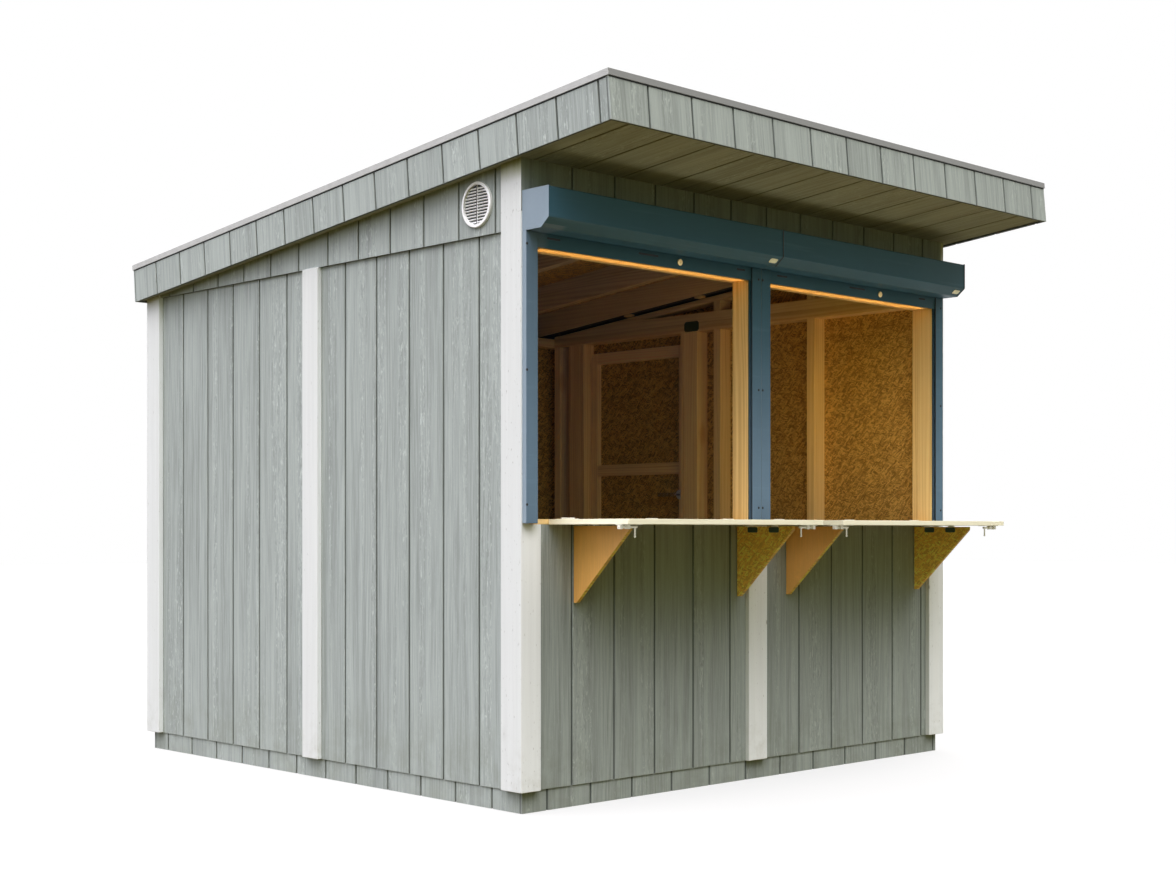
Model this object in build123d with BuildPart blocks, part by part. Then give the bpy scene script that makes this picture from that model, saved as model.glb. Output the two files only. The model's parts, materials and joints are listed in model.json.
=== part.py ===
from build123d import *
from math import cos, radians, sin, tan
import os

os.makedirs("parts", exist_ok=True)

# Driving dimensions of the hut, in millimetres
wall_width = 2377
wall_depth = 2526
wall_height = 1990
front_overhang = 513
rear_overhang = 60
side_overhang = 69.5
roof_edge_height = 164
roof_pitch = 5.3
rear_seat_rise = 10.4
joint_gap = 1
running_gap = 0.3
moving_gap = 5
overrun = 60

# Wall construction
siding_thickness = 12
stud_depth = 75
stud_width = 45
plate_height = 45
plinth_height = 75
plinth_inset = 5
plinth_thickness = 12
bearer_width = 45
bearer_count = 5
deck_thickness = 18
sheet_lap = 30
sheet_drop = 2
side_stud_shares = (0.418, 0.879)
left_rear_stud_share = 0.507
end_stud_count = 4
trim_thickness = 20
corner_side_width = 108
corner_front_left_width = 89
corner_front_right_width = 104
corner_rear_width = 104
strip_width = 106
side_strip_shift = 11.5
front_strip_shift = 9

# Front opening, counter and shutters
apron_top = 985
counter_thickness = 18
opening_drop = 59
rail_width = 53
rail_depth = 22
rail_foot_gap = 3
rail_slot_width = 12
rail_slot_depth = 14
shutter_left_lap = 16
shutter_right_margin = 13
box_size = 137
box_drop = 13
box_chamfer_depth = 40
box_chamfer_height = 32
box_edge_radius = 4
box_cap_thickness = 3
box_cap_lip = 1.5
slat_height = 49
slat_thickness = 8
slat_insert = 10
middle_post_depth = 82
jamb_lip = 20
jamb_step = 4
counter_front = 402
counter_left_margin = 132
counter_middle_margin = 58
counter_right_margin = 68
counter_corner_radius = 5
counter_hinge_length = 60
counter_hinge_inset = 90
hinge_leaf_thickness = 2
hinge_leaf_width = 24
hinge_pin_radius = 3

# Folding brackets and barrel bolts under the counter
bracket_insets = (116, 26, 130, 76)
bracket_thickness = 15
bracket_reach = 279
bracket_drop = 268
bracket_nose = 14
bracket_hinge_length = 30
bracket_hinge_shares = (0.25, 0.7)
bolt_setback = 47
bolt_plate_length = 96
bolt_plate_width = 32
bolt_plate_thickness = 2
bolt_radius = 4
bolt_rod_length = 84
bolt_guide_length = 14
bolt_guide_size = 14
bolt_guide_shares = (0.08, 0.42)
bolt_knob_length = 32
bolt_knob_radius = 3
bolt_knob_share = 0.78

# Door in the right-hand wall
door_rear_margin = 321
door_width = 713
door_drop = 90
door_latch_gap = 7
door_frame_thickness = 28
door_stile_width = 50
door_rail_width = 58
door_mid_rail_share = 0.641
lining_thickness = 25
door_hinge_radius = 7
door_hinge_length = 90
door_hinge_leaf = 38
door_hinge_shares = (0.08, 0.5, 0.92)
lever_drop = 105
lever_backset = 38
lever_spindle_radius = 4.5
lever_hole_clearance = 0.5
lever_length = 110
lever_thickness = 10
lever_edge_radius = 2.5
lever_stand_off = 38
rosette_radius = 24
rosette_thickness = 8

# Roof build-up, measured square to the slope
trim_sheet = 2
trim_height = 22
trim_flange = 50
covering_thickness = 4
roof_deck_thickness = 18
fascia_thickness = 12
fascia_setback = 4
fascia_lip = 8
rafter_width = 45
rafter_shares = (0, 0.224, 0.505, 0.786, 1)
sloping_plate_height = 27
sloping_plate_drop = 8
soffit_thickness = 11

# Round louvred vent in the left-hand upper sheet
vent_centre_depth = 222
vent_raise = 2.5
vent_diameter = 160
vent_rim_width = 11
vent_thickness = 10
vent_blade_count = 12
vent_blade_thickness = 2.4
vent_blade_tilt = 40
vent_rib_width = 5
vent_edge_radius = 3

# Places worked out from the dimensions above
pitch_sine = sin(radians(roof_pitch))
pitch_cosine = cos(radians(roof_pitch))
half_edge = roof_edge_height / 2
lean = half_edge * pitch_sine
roof_width = wall_width + 2 * side_overhang
roof_reach = front_overhang + wall_depth + rear_overhang
roof_length = (roof_reach - 2 * lean) / pitch_cosine + fascia_setback
roof_shift = -fascia_setback * pitch_cosine / 2
wall_left = -wall_width / 2
wall_right = wall_width / 2
wall_front = -roof_reach / 2 + front_overhang
wall_rear = wall_front + wall_depth
frame_inset = siding_thickness + stud_depth
deck_top = plinth_height + deck_thickness
stud_bottom = deck_top + plate_height
top_plate_bottom = wall_height - plate_height
sheet_lap_bottom = wall_height - sheet_drop
opening_top = wall_height - opening_drop
box_bottom = wall_height - box_drop
door_top = wall_height - door_drop
counter_top = apron_top + counter_thickness
rail_bottom = apron_top + rail_foot_gap
face_front = wall_front - trim_thickness
shutter_unit_width = (wall_width + shutter_left_lap - shutter_right_margin) / 2
shutter_left = wall_left - shutter_left_lap
shutter_middle = shutter_left + shutter_unit_width
shutter_right = shutter_middle + shutter_unit_width
opening_left = shutter_left + rail_width
opening_right = shutter_right - rail_width
middle_left = shutter_middle - rail_width
middle_right = shutter_middle + rail_width
door_rear = wall_rear - door_rear_margin
door_front = door_rear - door_width

# Levels of the roof layers above and below the roof's own middle plane
covering_top = half_edge - trim_sheet
covering_bottom = covering_top - covering_thickness
roof_deck_bottom = covering_bottom - roof_deck_thickness
soffit_bottom = fascia_lip - half_edge
rafter_bottom = soffit_bottom + soffit_thickness
fascia_outer = roof_width / 2 - fascia_setback
fascia_inner = fascia_outer - fascia_thickness
fascia_end = roof_length / 2 - fascia_setback
fascia_end_inner = fascia_end - fascia_thickness

# The rafters' undersides meet the rear wall's outer face a little above the wall plates
rear_drop = (wall_rear - roof_shift) * pitch_sine - rafter_bottom
roof_mid_height = wall_height + rear_seat_rise + rear_drop / pitch_cosine
roof_plane = Plane(
    origin=(0, roof_shift, roof_mid_height), x_dir=(1, 0, 0), z_dir=(0, pitch_sine, pitch_cosine)
)

# Inner faces of the siding and of the frame, and the places of the studs
inner_left = wall_left + siding_thickness
inner_right = wall_right - siding_thickness
inner_front = wall_front + siding_thickness
inner_rear = wall_rear - siding_thickness
room_left = wall_left + frame_inset
room_right = wall_right - frame_inset
room_front = wall_front + frame_inset
room_rear = wall_rear - frame_inset
side_frames = ((inner_left, room_left), (room_right, inner_right))
hinge_stud_start = door_rear + lining_thickness
latch_stud_start = door_front - lining_thickness - stud_width - stud_width
first_stud = room_front + joint_gap
rear_stud = room_rear - joint_gap - stud_width
stud_span = latch_stud_start - first_stud
side_studs = [first_stud + share * stud_span for share in side_stud_shares]
left_rear_stud = side_studs[-1] + left_rear_stud_share * (rear_stud - side_studs[-1])
left_studs = side_studs + [left_rear_stud, rear_stud]
right_studs = side_studs + [latch_stud_start, hinge_stud_start, rear_stud]
end_stud_pitch = (room_right - room_left - stud_width) / (end_stud_count + 1)
end_studs = [room_left + index * end_stud_pitch for index in range(1, end_stud_count + 1)]

rafter_seat = roof_plane.offset(rafter_bottom)
soffit_face = roof_plane.offset(soffit_bottom)
sloping_top = roof_plane.offset(rafter_bottom - sloping_plate_drop)
sloping_bottom = roof_plane.offset(rafter_bottom - sloping_plate_drop - sloping_plate_height)
corner_align = (Align.MIN, Align.MIN, Align.MIN)


def block(low, high):
    """Add a straight timber or sheet between two opposite corners to the piece being made."""
    with Locations(low):
        Box(*(end - start for start, end in zip(low, high)), align=corner_align)


def finish(piece, name):
    """Label a finished piece and write it to its own file."""
    piece.part.label = name
    export_step(piece.part, f"parts/{name}.step")


# Plinth strip, floor bearers and floor deck
plinth_left = wall_left + plinth_inset
plinth_right = wall_right - plinth_inset
plinth_front = wall_front + plinth_inset
plinth_rear = wall_rear - plinth_inset
plinth_side_start = plinth_front + plinth_thickness + joint_gap
plinth_side_end = plinth_rear - plinth_thickness - joint_gap
with BuildPart() as plinth:
    block((plinth_left, plinth_front, 0), (plinth_right, plinth_front + plinth_thickness, plinth_height))
    block((plinth_left, plinth_rear - plinth_thickness, 0), (plinth_right, plinth_rear, plinth_height))
    block((plinth_left, plinth_side_start, 0),
          (plinth_left + plinth_thickness, plinth_side_end, plinth_height))
    block((plinth_right - plinth_thickness, plinth_side_start, 0),
          (plinth_right, plinth_side_end, plinth_height))
finish(plinth, "plinth")

bearer_start = plinth_left + plinth_thickness
bearer_pitch = (plinth_right - plinth_thickness - bearer_width - bearer_start) / (bearer_count - 1)
with BuildPart() as floor_bearers:
    for index in range(bearer_count):
        bearer_x = bearer_start + index * bearer_pitch
        block((bearer_x, plinth_front + plinth_thickness, 0),
              (bearer_x + bearer_width, plinth_rear - plinth_thickness, plinth_height))
finish(floor_bearers, "floor_bearers")

with BuildPart() as floor_deck:
    block((wall_left + siding_thickness, wall_front + siding_thickness, plinth_height),
          (wall_right - siding_thickness, wall_rear - siding_thickness, deck_top))
    block((wall_right - siding_thickness, door_front, plinth_height), (wall_right, door_rear, deck_top))
finish(floor_deck, "floor_deck")

# Siding sheets
lap_top = sheet_lap_bottom + sheet_lap
upper_start = face_front + corner_side_width
upper_end = wall_rear + trim_thickness - corner_side_width

with BuildPart() as siding_left_lower:
    block((wall_left, inner_front, plinth_height),
          (wall_left + siding_thickness, inner_rear, lap_top))
    split(bisect_by=rafter_seat, keep=Keep.BOTTOM)
finish(siding_left_lower, "siding_left_lower")

with BuildPart() as siding_left_upper:
    block((wall_left - siding_thickness, upper_start, sheet_lap_bottom),
          (wall_left, upper_end, roof_mid_height + roof_edge_height))
    split(bisect_by=soffit_face, keep=Keep.BOTTOM)
finish(siding_left_upper, "siding_left_upper")

with BuildPart() as siding_right_front:
    block((wall_right - siding_thickness, inner_front, plinth_height), (wall_right, door_front, lap_top))
finish(siding_right_front, "siding_right_front")

with BuildPart() as siding_right_rear:
    block((wall_right - siding_thickness, door_rear, plinth_height), (wall_right, inner_rear, lap_top))
    split(bisect_by=rafter_seat, keep=Keep.BOTTOM)
finish(siding_right_rear, "siding_right_rear")

with BuildPart() as siding_over_door:
    block((wall_right - siding_thickness, door_front, door_top), (wall_right, door_rear, lap_top))
finish(siding_over_door, "siding_over_door")

with BuildPart() as siding_right_upper:
    block((wall_right, upper_start, sheet_lap_bottom),
          (wall_right + siding_thickness, upper_end, roof_mid_height + roof_edge_height))
    split(bisect_by=soffit_face, keep=Keep.BOTTOM)
finish(siding_right_upper, "siding_right_upper")

with BuildPart() as siding_front_apron:
    block((wall_left, wall_front, plinth_height), (wall_right, wall_front + siding_thickness, apron_top))
finish(siding_front_apron, "siding_front_apron")

# The upper front sheet laps over the left post and stops at the right one
upper_front_bottom = box_bottom + box_size / 2
with BuildPart() as siding_front_upper:
    block((wall_left - trim_thickness, face_front, upper_front_bottom),
          (wall_right, wall_front, roof_mid_height + roof_edge_height))
    split(bisect_by=soffit_face, keep=Keep.BOTTOM)
finish(siding_front_upper, "siding_front_upper")

with BuildPart() as siding_rear:
    block((wall_left, wall_rear - siding_thickness, plinth_height),
          (wall_right, wall_rear, roof_mid_height))
    split(bisect_by=rafter_seat, keep=Keep.BOTTOM)
finish(siding_rear, "siding_rear")

# Corner posts, notched beside the openings, and cover strips over the sheet joints
post_top = roof_mid_height + roof_edge_height
outer_left = wall_left - trim_thickness
outer_right = wall_right + trim_thickness
outer_rear = wall_rear + trim_thickness
with BuildPart() as corner_posts:
    block((outer_left, face_front, plinth_height),
          (outer_left + corner_front_left_width, wall_front, apron_top))
    block((outer_left, face_front, apron_top), (opening_left - jamb_lip, wall_front, upper_front_bottom))
    block((outer_left, face_front, plinth_height), (wall_left, upper_start, upper_front_bottom))
    block((outer_left, wall_front, upper_front_bottom), (wall_left, upper_start, post_top))
    block((outer_right - corner_front_right_width, face_front, plinth_height),
          (outer_right, wall_front, apron_top))
    block((opening_right + jamb_lip, face_front, apron_top), (outer_right, wall_front, upper_front_bottom))
    block((wall_right, face_front, plinth_height), (outer_right, upper_start, post_top))
    block((outer_left, wall_rear, plinth_height),
          (outer_left + corner_rear_width, outer_rear, post_top))
    block((outer_left, upper_end, plinth_height), (wall_left, outer_rear, post_top))
    block((outer_right - corner_rear_width, wall_rear, plinth_height),
          (outer_right, outer_rear, post_top))
    block((wall_right, upper_end, plinth_height), (outer_right, outer_rear, post_top))
    split(bisect_by=soffit_face, keep=Keep.BOTTOM)
finish(corner_posts, "corner_posts")

side_strip_start = side_studs[-1] + stud_width / 2 + side_strip_shift - strip_width / 2
front_strip_start = (wall_left + wall_right) / 2 - front_strip_shift - strip_width / 2
with BuildPart() as cover_strips:
    for strip_x in (outer_left, wall_right):
        block((strip_x, side_strip_start, plinth_height),
              (strip_x + trim_thickness, side_strip_start + strip_width, sheet_lap_bottom))
    block((front_strip_start, face_front, plinth_height),
          (front_strip_start + strip_width, wall_front, apron_top))
    block((front_strip_start, wall_rear, plinth_height),
          (front_strip_start + strip_width, outer_rear, post_top))
    split(bisect_by=soffit_face, keep=Keep.BOTTOM)
finish(cover_strips, "cover_strips")

# Timber frame inside the siding
with BuildPart() as bottom_plates:
    block((inner_left, inner_front, deck_top), (inner_right, room_front, stud_bottom))
    block((inner_left, room_rear, deck_top), (inner_right, inner_rear, stud_bottom))
    block((inner_left, room_front + joint_gap, deck_top), (room_left, room_rear - joint_gap, stud_bottom))
    block((room_right, room_front + joint_gap, deck_top),
          (inner_right, door_front - lining_thickness, stud_bottom))
    block((room_right, hinge_stud_start, deck_top), (inner_right, room_rear - joint_gap, stud_bottom))
finish(bottom_plates, "bottom_plates")

with BuildPart() as top_plates:
    for frame_start, frame_end in side_frames:
        block((frame_start, room_front, top_plate_bottom),
              (frame_end, room_rear - joint_gap, wall_height))
    block((inner_left, room_rear, top_plate_bottom), (inner_right, inner_rear, wall_height))
finish(top_plates, "top_plates")

gable_top = wall_height + plate_height
with BuildPart() as gable_plates:
    for frame_start, frame_end in side_frames:
        block((frame_start, room_front, wall_height), (frame_end, room_rear, gable_top))
    split(bisect_by=sloping_top, keep=Keep.BOTTOM)
finish(gable_plates, "gable_plates")

with BuildPart() as sloping_plates:
    for frame_start, frame_end in side_frames:
        block((frame_start, room_front, gable_top), (frame_end, room_rear, post_top))
    split(bisect_by=sloping_top, keep=Keep.BOTTOM)
    split(bisect_by=sloping_bottom, keep=Keep.TOP)
finish(sloping_plates, "sloping_plates")

with BuildPart() as short_studs:
    for frame_start, frame_end in side_frames:
        for stud_y in side_studs:
            block((frame_start, stud_y, gable_top), (frame_end, stud_y + stud_width, post_top))
    split(bisect_by=sloping_bottom, keep=Keep.BOTTOM)

with BuildPart() as wall_studs:
    add(short_studs.part)
    for stud_y in left_studs:
        block((inner_left, stud_y, stud_bottom), (room_left, stud_y + stud_width, top_plate_bottom))
    for stud_y in right_studs:
        doubled = stud_y in (latch_stud_start, hinge_stud_start)
        width = stud_width + stud_width if doubled else stud_width
        block((room_right, stud_y, stud_bottom), (inner_right, stud_y + width, top_plate_bottom))
    for stud_x in end_studs:
        block((stud_x, room_rear, stud_bottom), (stud_x + stud_width, inner_rear, top_plate_bottom))
        block((stud_x, inner_front, stud_bottom), (stud_x + stud_width, room_front, apron_top))
finish(wall_studs, "wall_studs")

# Posts beside and between the openings, the outer ones lipped round the corner posts
post_back = face_front + stud_depth
with BuildPart() as front_posts:
    block((middle_left, face_front, apron_top),
          (middle_right, face_front + middle_post_depth, opening_top))
    block((inner_left, wall_front, apron_top), (opening_left, post_back, opening_top))
    block((opening_left - jamb_lip, face_front, apron_top), (opening_left, wall_front, opening_top))
    block((inner_left, post_back, apron_top), (opening_left - jamb_step, room_front, opening_top))
    block((opening_right, wall_front, apron_top), (inner_right, post_back, opening_top))
    block((opening_right, face_front, apron_top), (opening_right + jamb_lip, wall_front, opening_top))
    block((opening_right + jamb_step, post_back, apron_top), (inner_right, room_front, opening_top))
finish(front_posts, "front_posts")

with BuildPart() as front_sill:
    for sill_start, sill_end in ((opening_left, middle_left), (middle_right, opening_right)):
        block((sill_start + joint_gap, wall_front, apron_top),
              (sill_end - joint_gap, room_front, counter_top))
finish(front_sill, "front_sill")

with BuildPart() as front_lintel:
    block((inner_left, wall_front, opening_top), (inner_right, room_front, post_top))
    split(bisect_by=rafter_seat, keep=Keep.BOTTOM)
finish(front_lintel, "front_lintel")

# Roof, built on its sloping middle plane
rafter_span = room_right - room_left - rafter_width
with BuildPart(roof_plane) as rafters:
    for rafter_share in rafter_shares:
        rafter_x = room_left + rafter_share * rafter_span
        block((rafter_x, -fascia_end_inner, rafter_bottom),
              (rafter_x + rafter_width, fascia_end_inner, roof_deck_bottom))
finish(rafters, "rafters")

with BuildPart(roof_plane) as roof_deck:
    block((-fascia_inner, -fascia_end_inner, roof_deck_bottom),
          (fascia_inner, fascia_end_inner, covering_bottom))
finish(roof_deck, "roof_deck")

with BuildPart(roof_plane) as roof_covering:
    block((-fascia_outer, -fascia_end, covering_bottom), (fascia_outer, fascia_end, covering_top))
finish(roof_covering, "roof_covering")

with BuildPart(roof_plane) as fascia_boards:
    for board_start in (-fascia_end, fascia_end_inner):
        block((-fascia_outer, board_start, -half_edge),
              (fascia_outer, board_start + fascia_thickness, covering_bottom))
    for board_start in (-fascia_outer, fascia_inner):
        block((board_start, joint_gap - fascia_end_inner, -half_edge),
              (board_start + fascia_thickness, fascia_end_inner - joint_gap, covering_bottom))
finish(fascia_boards, "fascia_boards")

with BuildPart(roof_plane) as roof_trim:
    with Locations((0, 0, half_edge)):
        Box(roof_width, roof_length, trim_height, align=(Align.CENTER, Align.CENTER, Align.MAX))
    with Locations((0, 0, covering_top)):
        Box(roof_width - 2 * trim_sheet, roof_length - 2 * trim_sheet, trim_height,
            align=(Align.CENTER, Align.CENTER, Align.MAX), mode=Mode.SUBTRACT)
    Box(roof_width - 2 * trim_flange, roof_length - 2 * trim_flange, roof_edge_height + overrun,
        mode=Mode.SUBTRACT)
finish(roof_trim, "roof_trim")

front_wall_plane = Plane((0, wall_front, 0), x_dir=(1, 0, 0), z_dir=(0, -1, 0))
rear_wall_plane = Plane((0, wall_rear, 0), x_dir=(1, 0, 0), z_dir=(0, -1, 0))
with BuildPart(roof_plane) as front_soffit:
    block((-fascia_inner, -fascia_end_inner, soffit_bottom), (fascia_inner, 0, rafter_bottom))
    split(bisect_by=front_wall_plane, keep=Keep.TOP)
finish(front_soffit, "front_soffit")

with BuildPart(roof_plane) as eave_soffits:
    block((wall_left + joint_gap, 0, soffit_bottom),
          (wall_right - joint_gap, fascia_end_inner, rafter_bottom))
    split(bisect_by=rear_wall_plane, keep=Keep.BOTTOM)
    for strip_start, strip_end in ((-fascia_inner, wall_left), (wall_right, fascia_inner)):
        block((strip_start, -fascia_end_inner, soffit_bottom),
              (strip_end, fascia_end_inner, rafter_bottom))
    split(bisect_by=front_wall_plane, keep=Keep.BOTTOM)
finish(eave_soffits, "eave_soffits")

# Roller shutters: boxes with end caps, guide rails and end slats
box_top = box_bottom + box_size
box_front = face_front - box_size


def box_length(start, length, inset):
    """Add a length of shutter box section, drawn in by an inset on every face but the back."""
    with BuildSketch(Plane.YZ.offset(start)) as section:
        with BuildLine():
            Polyline(
                (face_front, box_bottom + inset),
                (box_front + box_chamfer_depth, box_bottom + inset),
                (box_front + inset, box_bottom + box_chamfer_height),
                (box_front + inset, box_top - inset),
                (face_front, box_top - inset),
                close=True,
            )
        make_face()
        fillet(section.vertices().group_by(Axis.X)[0], radius=box_edge_radius)
    extrude(section.sketch, amount=length)


def shutter_box(start):
    """Make one shutter box from its left end: a folded casing between two end caps."""
    width = shutter_unit_width - joint_gap
    with BuildPart() as shutter:
        box_length(start, box_cap_thickness, 0)
        box_length(start + box_cap_thickness, width - box_cap_thickness - box_cap_thickness, box_cap_lip)
        box_length(start + width - box_cap_thickness, box_cap_thickness, 0)
    return shutter


shutter_box_left = shutter_box(shutter_left)
finish(shutter_box_left, "shutter_box_left")
shutter_box_right = shutter_box(shutter_middle)
finish(shutter_box_right, "shutter_box_right")

slot_middle = face_front - rail_depth / 2
rail_starts = (shutter_left, shutter_middle - rail_width, shutter_middle + joint_gap, opening_right)
with BuildPart() as guide_rails:
    for rail_start, slot_side in zip(rail_starts, (1, -1, 1, -1)):
        rail_end = rail_start + rail_width - joint_gap
        block((rail_start, face_front - rail_depth, rail_bottom), (rail_end, face_front, box_bottom))
        slot_x = rail_end - rail_slot_depth / 2 if slot_side > 0 else rail_start + rail_slot_depth / 2
        with Locations((slot_x, slot_middle, (rail_bottom + box_bottom) / 2)):
            Box(rail_slot_depth, rail_slot_width, box_bottom - rail_bottom, mode=Mode.SUBTRACT)
finish(guide_rails, "guide_rails")

with BuildPart() as end_slats:
    for slat_start, slat_end in ((opening_left, middle_left), (middle_right, opening_right)):
        block((slat_start - slat_insert, slot_middle - slat_thickness / 2, box_bottom - slat_height),
              (slat_end + slat_insert, slot_middle + slat_thickness / 2, box_bottom + box_cap_lip))
finish(end_slats, "end_slats")

# Louvred vent: a rim, a middle rib and tilted blades that meet the rim
vent_radius = vent_diameter / 2
vent_opening = vent_radius - vent_rim_width
vent_y = wall_front + vent_centre_depth
soffit_above_vent = roof_mid_height + (soffit_bottom - (vent_y - roof_shift) * pitch_sine) / pitch_cosine
vent_plane = Plane(
    origin=(wall_left - siding_thickness, vent_y, (sheet_lap_bottom + soffit_above_vent) / 2 + vent_raise),
    x_dir=(0, -1, 0), z_dir=(-1, 0, 0),
)
vent_blade_pitch = 2 * vent_opening / (vent_blade_count + 1)
blade_rise = vent_thickness * tan(radians(vent_blade_tilt))
with BuildPart(vent_plane) as vent_grille:
    with BuildSketch(vent_plane):
        Circle(vent_radius)
        Circle(vent_opening, mode=Mode.SUBTRACT)
    extrude(amount=vent_thickness)
    rim_edges = vent_grille.faces().sort_by(Axis.X)[0].edges().sort_by(SortBy.LENGTH)
    fillet(rim_edges[-1], radius=vent_edge_radius)
    with BuildSketch(vent_plane):
        Rectangle(vent_rib_width, 2 * vent_opening + vent_rim_width)
    extrude(amount=vent_thickness / 2)
with BuildPart() as vent_blades:
    for index in range(vent_blade_count):
        blade_height = (index + 1) * vent_blade_pitch - vent_opening
        with BuildSketch(Plane(
            origin=vent_plane.from_local_coords((-vent_opening, blade_height, 0)),
            x_dir=(-1, 0, 0), z_dir=(0, -1, 0),
        )):
            with BuildLine():
                Polyline(
                    (0, blade_rise / 2),
                    (vent_thickness / 2, 0),
                    (vent_thickness / 2, vent_blade_thickness),
                    (0, blade_rise / 2 + vent_blade_thickness),
                    close=True,
                )
            make_face()
        extrude(amount=2 * vent_opening)
    with BuildSketch(vent_plane):
        Circle(vent_opening + joint_gap)
    extrude(amount=vent_thickness, mode=Mode.INTERSECT)
with BuildPart() as vent:
    add(vent_grille.part)
    add(vent_blades.part)
finish(vent, "vent_grille")

# Side door: outer skin, ledged frame, lining, hinges and lever handle
leaf_front = door_front + door_latch_gap
leaf_rear = door_rear - moving_gap
leaf_bottom = deck_top + moving_gap
leaf_top = door_top - moving_gap
skin_inner = wall_right - siding_thickness
frame_inner = skin_inner - door_frame_thickness
door_mid_rail_bottom = leaf_bottom + door_mid_rail_share * (leaf_top - leaf_bottom)
lever_height = door_mid_rail_bottom - lever_drop
lever_y = leaf_front + lever_backset
lever_plane = Plane((wall_right, lever_y, lever_height), x_dir=(0, 1, 0), z_dir=(1, 0, 0))
with BuildPart() as door_skin:
    block((skin_inner, leaf_front, leaf_bottom), (wall_right, leaf_rear, leaf_top))
    with Locations(lever_plane):
        Hole(lever_spindle_radius + lever_hole_clearance)
finish(door_skin, "door_skin")

ledge_front = leaf_front + door_stile_width + joint_gap
ledge_rear = leaf_rear - door_stile_width - joint_gap
with BuildPart() as door_ledges:
    for stile_start in (leaf_front, leaf_rear - door_stile_width):
        block((frame_inner, stile_start, leaf_bottom), (skin_inner, stile_start + door_stile_width, leaf_top))
    for rail_low in (leaf_bottom, door_mid_rail_bottom, leaf_top - door_rail_width):
        block((frame_inner, ledge_front, rail_low), (skin_inner, ledge_rear, rail_low + door_rail_width))
    with Locations(lever_plane):
        Hole(lever_spindle_radius + lever_hole_clearance)
finish(door_ledges, "door_ledges")

with BuildPart() as door_lining:
    for lining_start in (door_front - lining_thickness, door_rear):
        block((room_right, lining_start, deck_top),
              (inner_right, lining_start + lining_thickness, top_plate_bottom))
finish(door_lining, "door_lining")

door_axis_x = wall_right + door_hinge_radius + running_gap
door_axis_y = door_rear - moving_gap / 2
hinge_heights = [leaf_bottom + share * (leaf_top - leaf_bottom) for share in door_hinge_shares]
with BuildPart() as door_hinges:
    for height in hinge_heights:
        low = height - door_hinge_length / 2
        with Locations((door_axis_x, door_axis_y, height)):
            Cylinder(door_hinge_radius, door_hinge_length)
        block((wall_right, door_axis_y, low),
              (wall_right + hinge_leaf_thickness, door_axis_y + door_hinge_leaf, low + door_hinge_length))
finish(door_hinges, "door_hinges")

leaf_plate_end = door_axis_y - door_hinge_radius - running_gap
with BuildPart() as door_fittings:
    for height in hinge_heights:
        low = height - door_hinge_length / 2
        block((wall_right, leaf_plate_end - door_hinge_leaf, low),
              (wall_right + hinge_leaf_thickness, leaf_plate_end, low + door_hinge_length))
    for face_x, way in ((wall_right, 1), (frame_inner, -1)):
        with BuildSketch(Plane((face_x, lever_y, lever_height), x_dir=(0, 1, 0), z_dir=(way, 0, 0))):
            Circle(rosette_radius)
            Circle(lever_spindle_radius + lever_hole_clearance, mode=Mode.SUBTRACT)
        extrude(amount=rosette_thickness)
finish(door_fittings, "door_fittings")

with BuildPart() as door_lever:
    with BuildSketch(Plane((frame_inner - lever_stand_off, lever_y, lever_height),
                           x_dir=(0, 1, 0), z_dir=(1, 0, 0))):
        Circle(lever_spindle_radius)
    extrude(amount=wall_right - frame_inner + lever_stand_off + lever_stand_off)
    for arm_start in (frame_inner - lever_stand_off - lever_thickness, wall_right + lever_stand_off):
        with BuildSketch(Plane((arm_start, lever_y, lever_height), x_dir=(0, 1, 0), z_dir=(1, 0, 0))):
            with Locations((lever_length / 2, 0)):
                SlotOverall(lever_length + 2 * lever_thickness, 2 * lever_thickness)
        extrude(amount=lever_thickness)
    fillet(door_lever.edges().filter_by(GeomType.LINE), radius=lever_edge_radius)
finish(door_lever, "door_lever")

# Counter boards with their hinges on the sill
board_rear = wall_front - moving_gap
board_front = wall_front - counter_front
counter_axis_y = wall_front - moving_gap / 2
counter_axis_z = counter_top + hinge_pin_radius + running_gap
boards = (
    (shutter_left + counter_left_margin, shutter_middle - counter_middle_margin),
    (shutter_middle + counter_middle_margin, shutter_right - counter_right_margin),
)


def hinge_middles(start, end):
    """Give the middles of the three hinges along a counter board."""
    return (start + counter_hinge_inset, (start + end) / 2, end - counter_hinge_inset)


with BuildPart() as counter_hinges:
    for start, end in boards:
        for middle in hinge_middles(start, end):
            low = middle - counter_hinge_length / 2
            with Locations(Plane((middle, counter_axis_y, counter_axis_z), x_dir=(0, 1, 0), z_dir=(1, 0, 0))):
                Cylinder(hinge_pin_radius, counter_hinge_length)
            block((low, counter_axis_y, counter_top),
                  (low + counter_hinge_length, wall_front + hinge_leaf_width,
                   counter_top + hinge_leaf_thickness))
finish(counter_hinges, "counter_hinges")

for side, (start, end) in zip(("left", "right"), boards):
    with BuildPart() as counter_board:
        block((start, board_front, apron_top), (end, board_rear, counter_top))
        fillet(counter_board.edges().filter_by(Axis.Z).group_by(Axis.Y)[0], radius=counter_corner_radius)
    finish(counter_board, f"counter_board_{side}")

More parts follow.
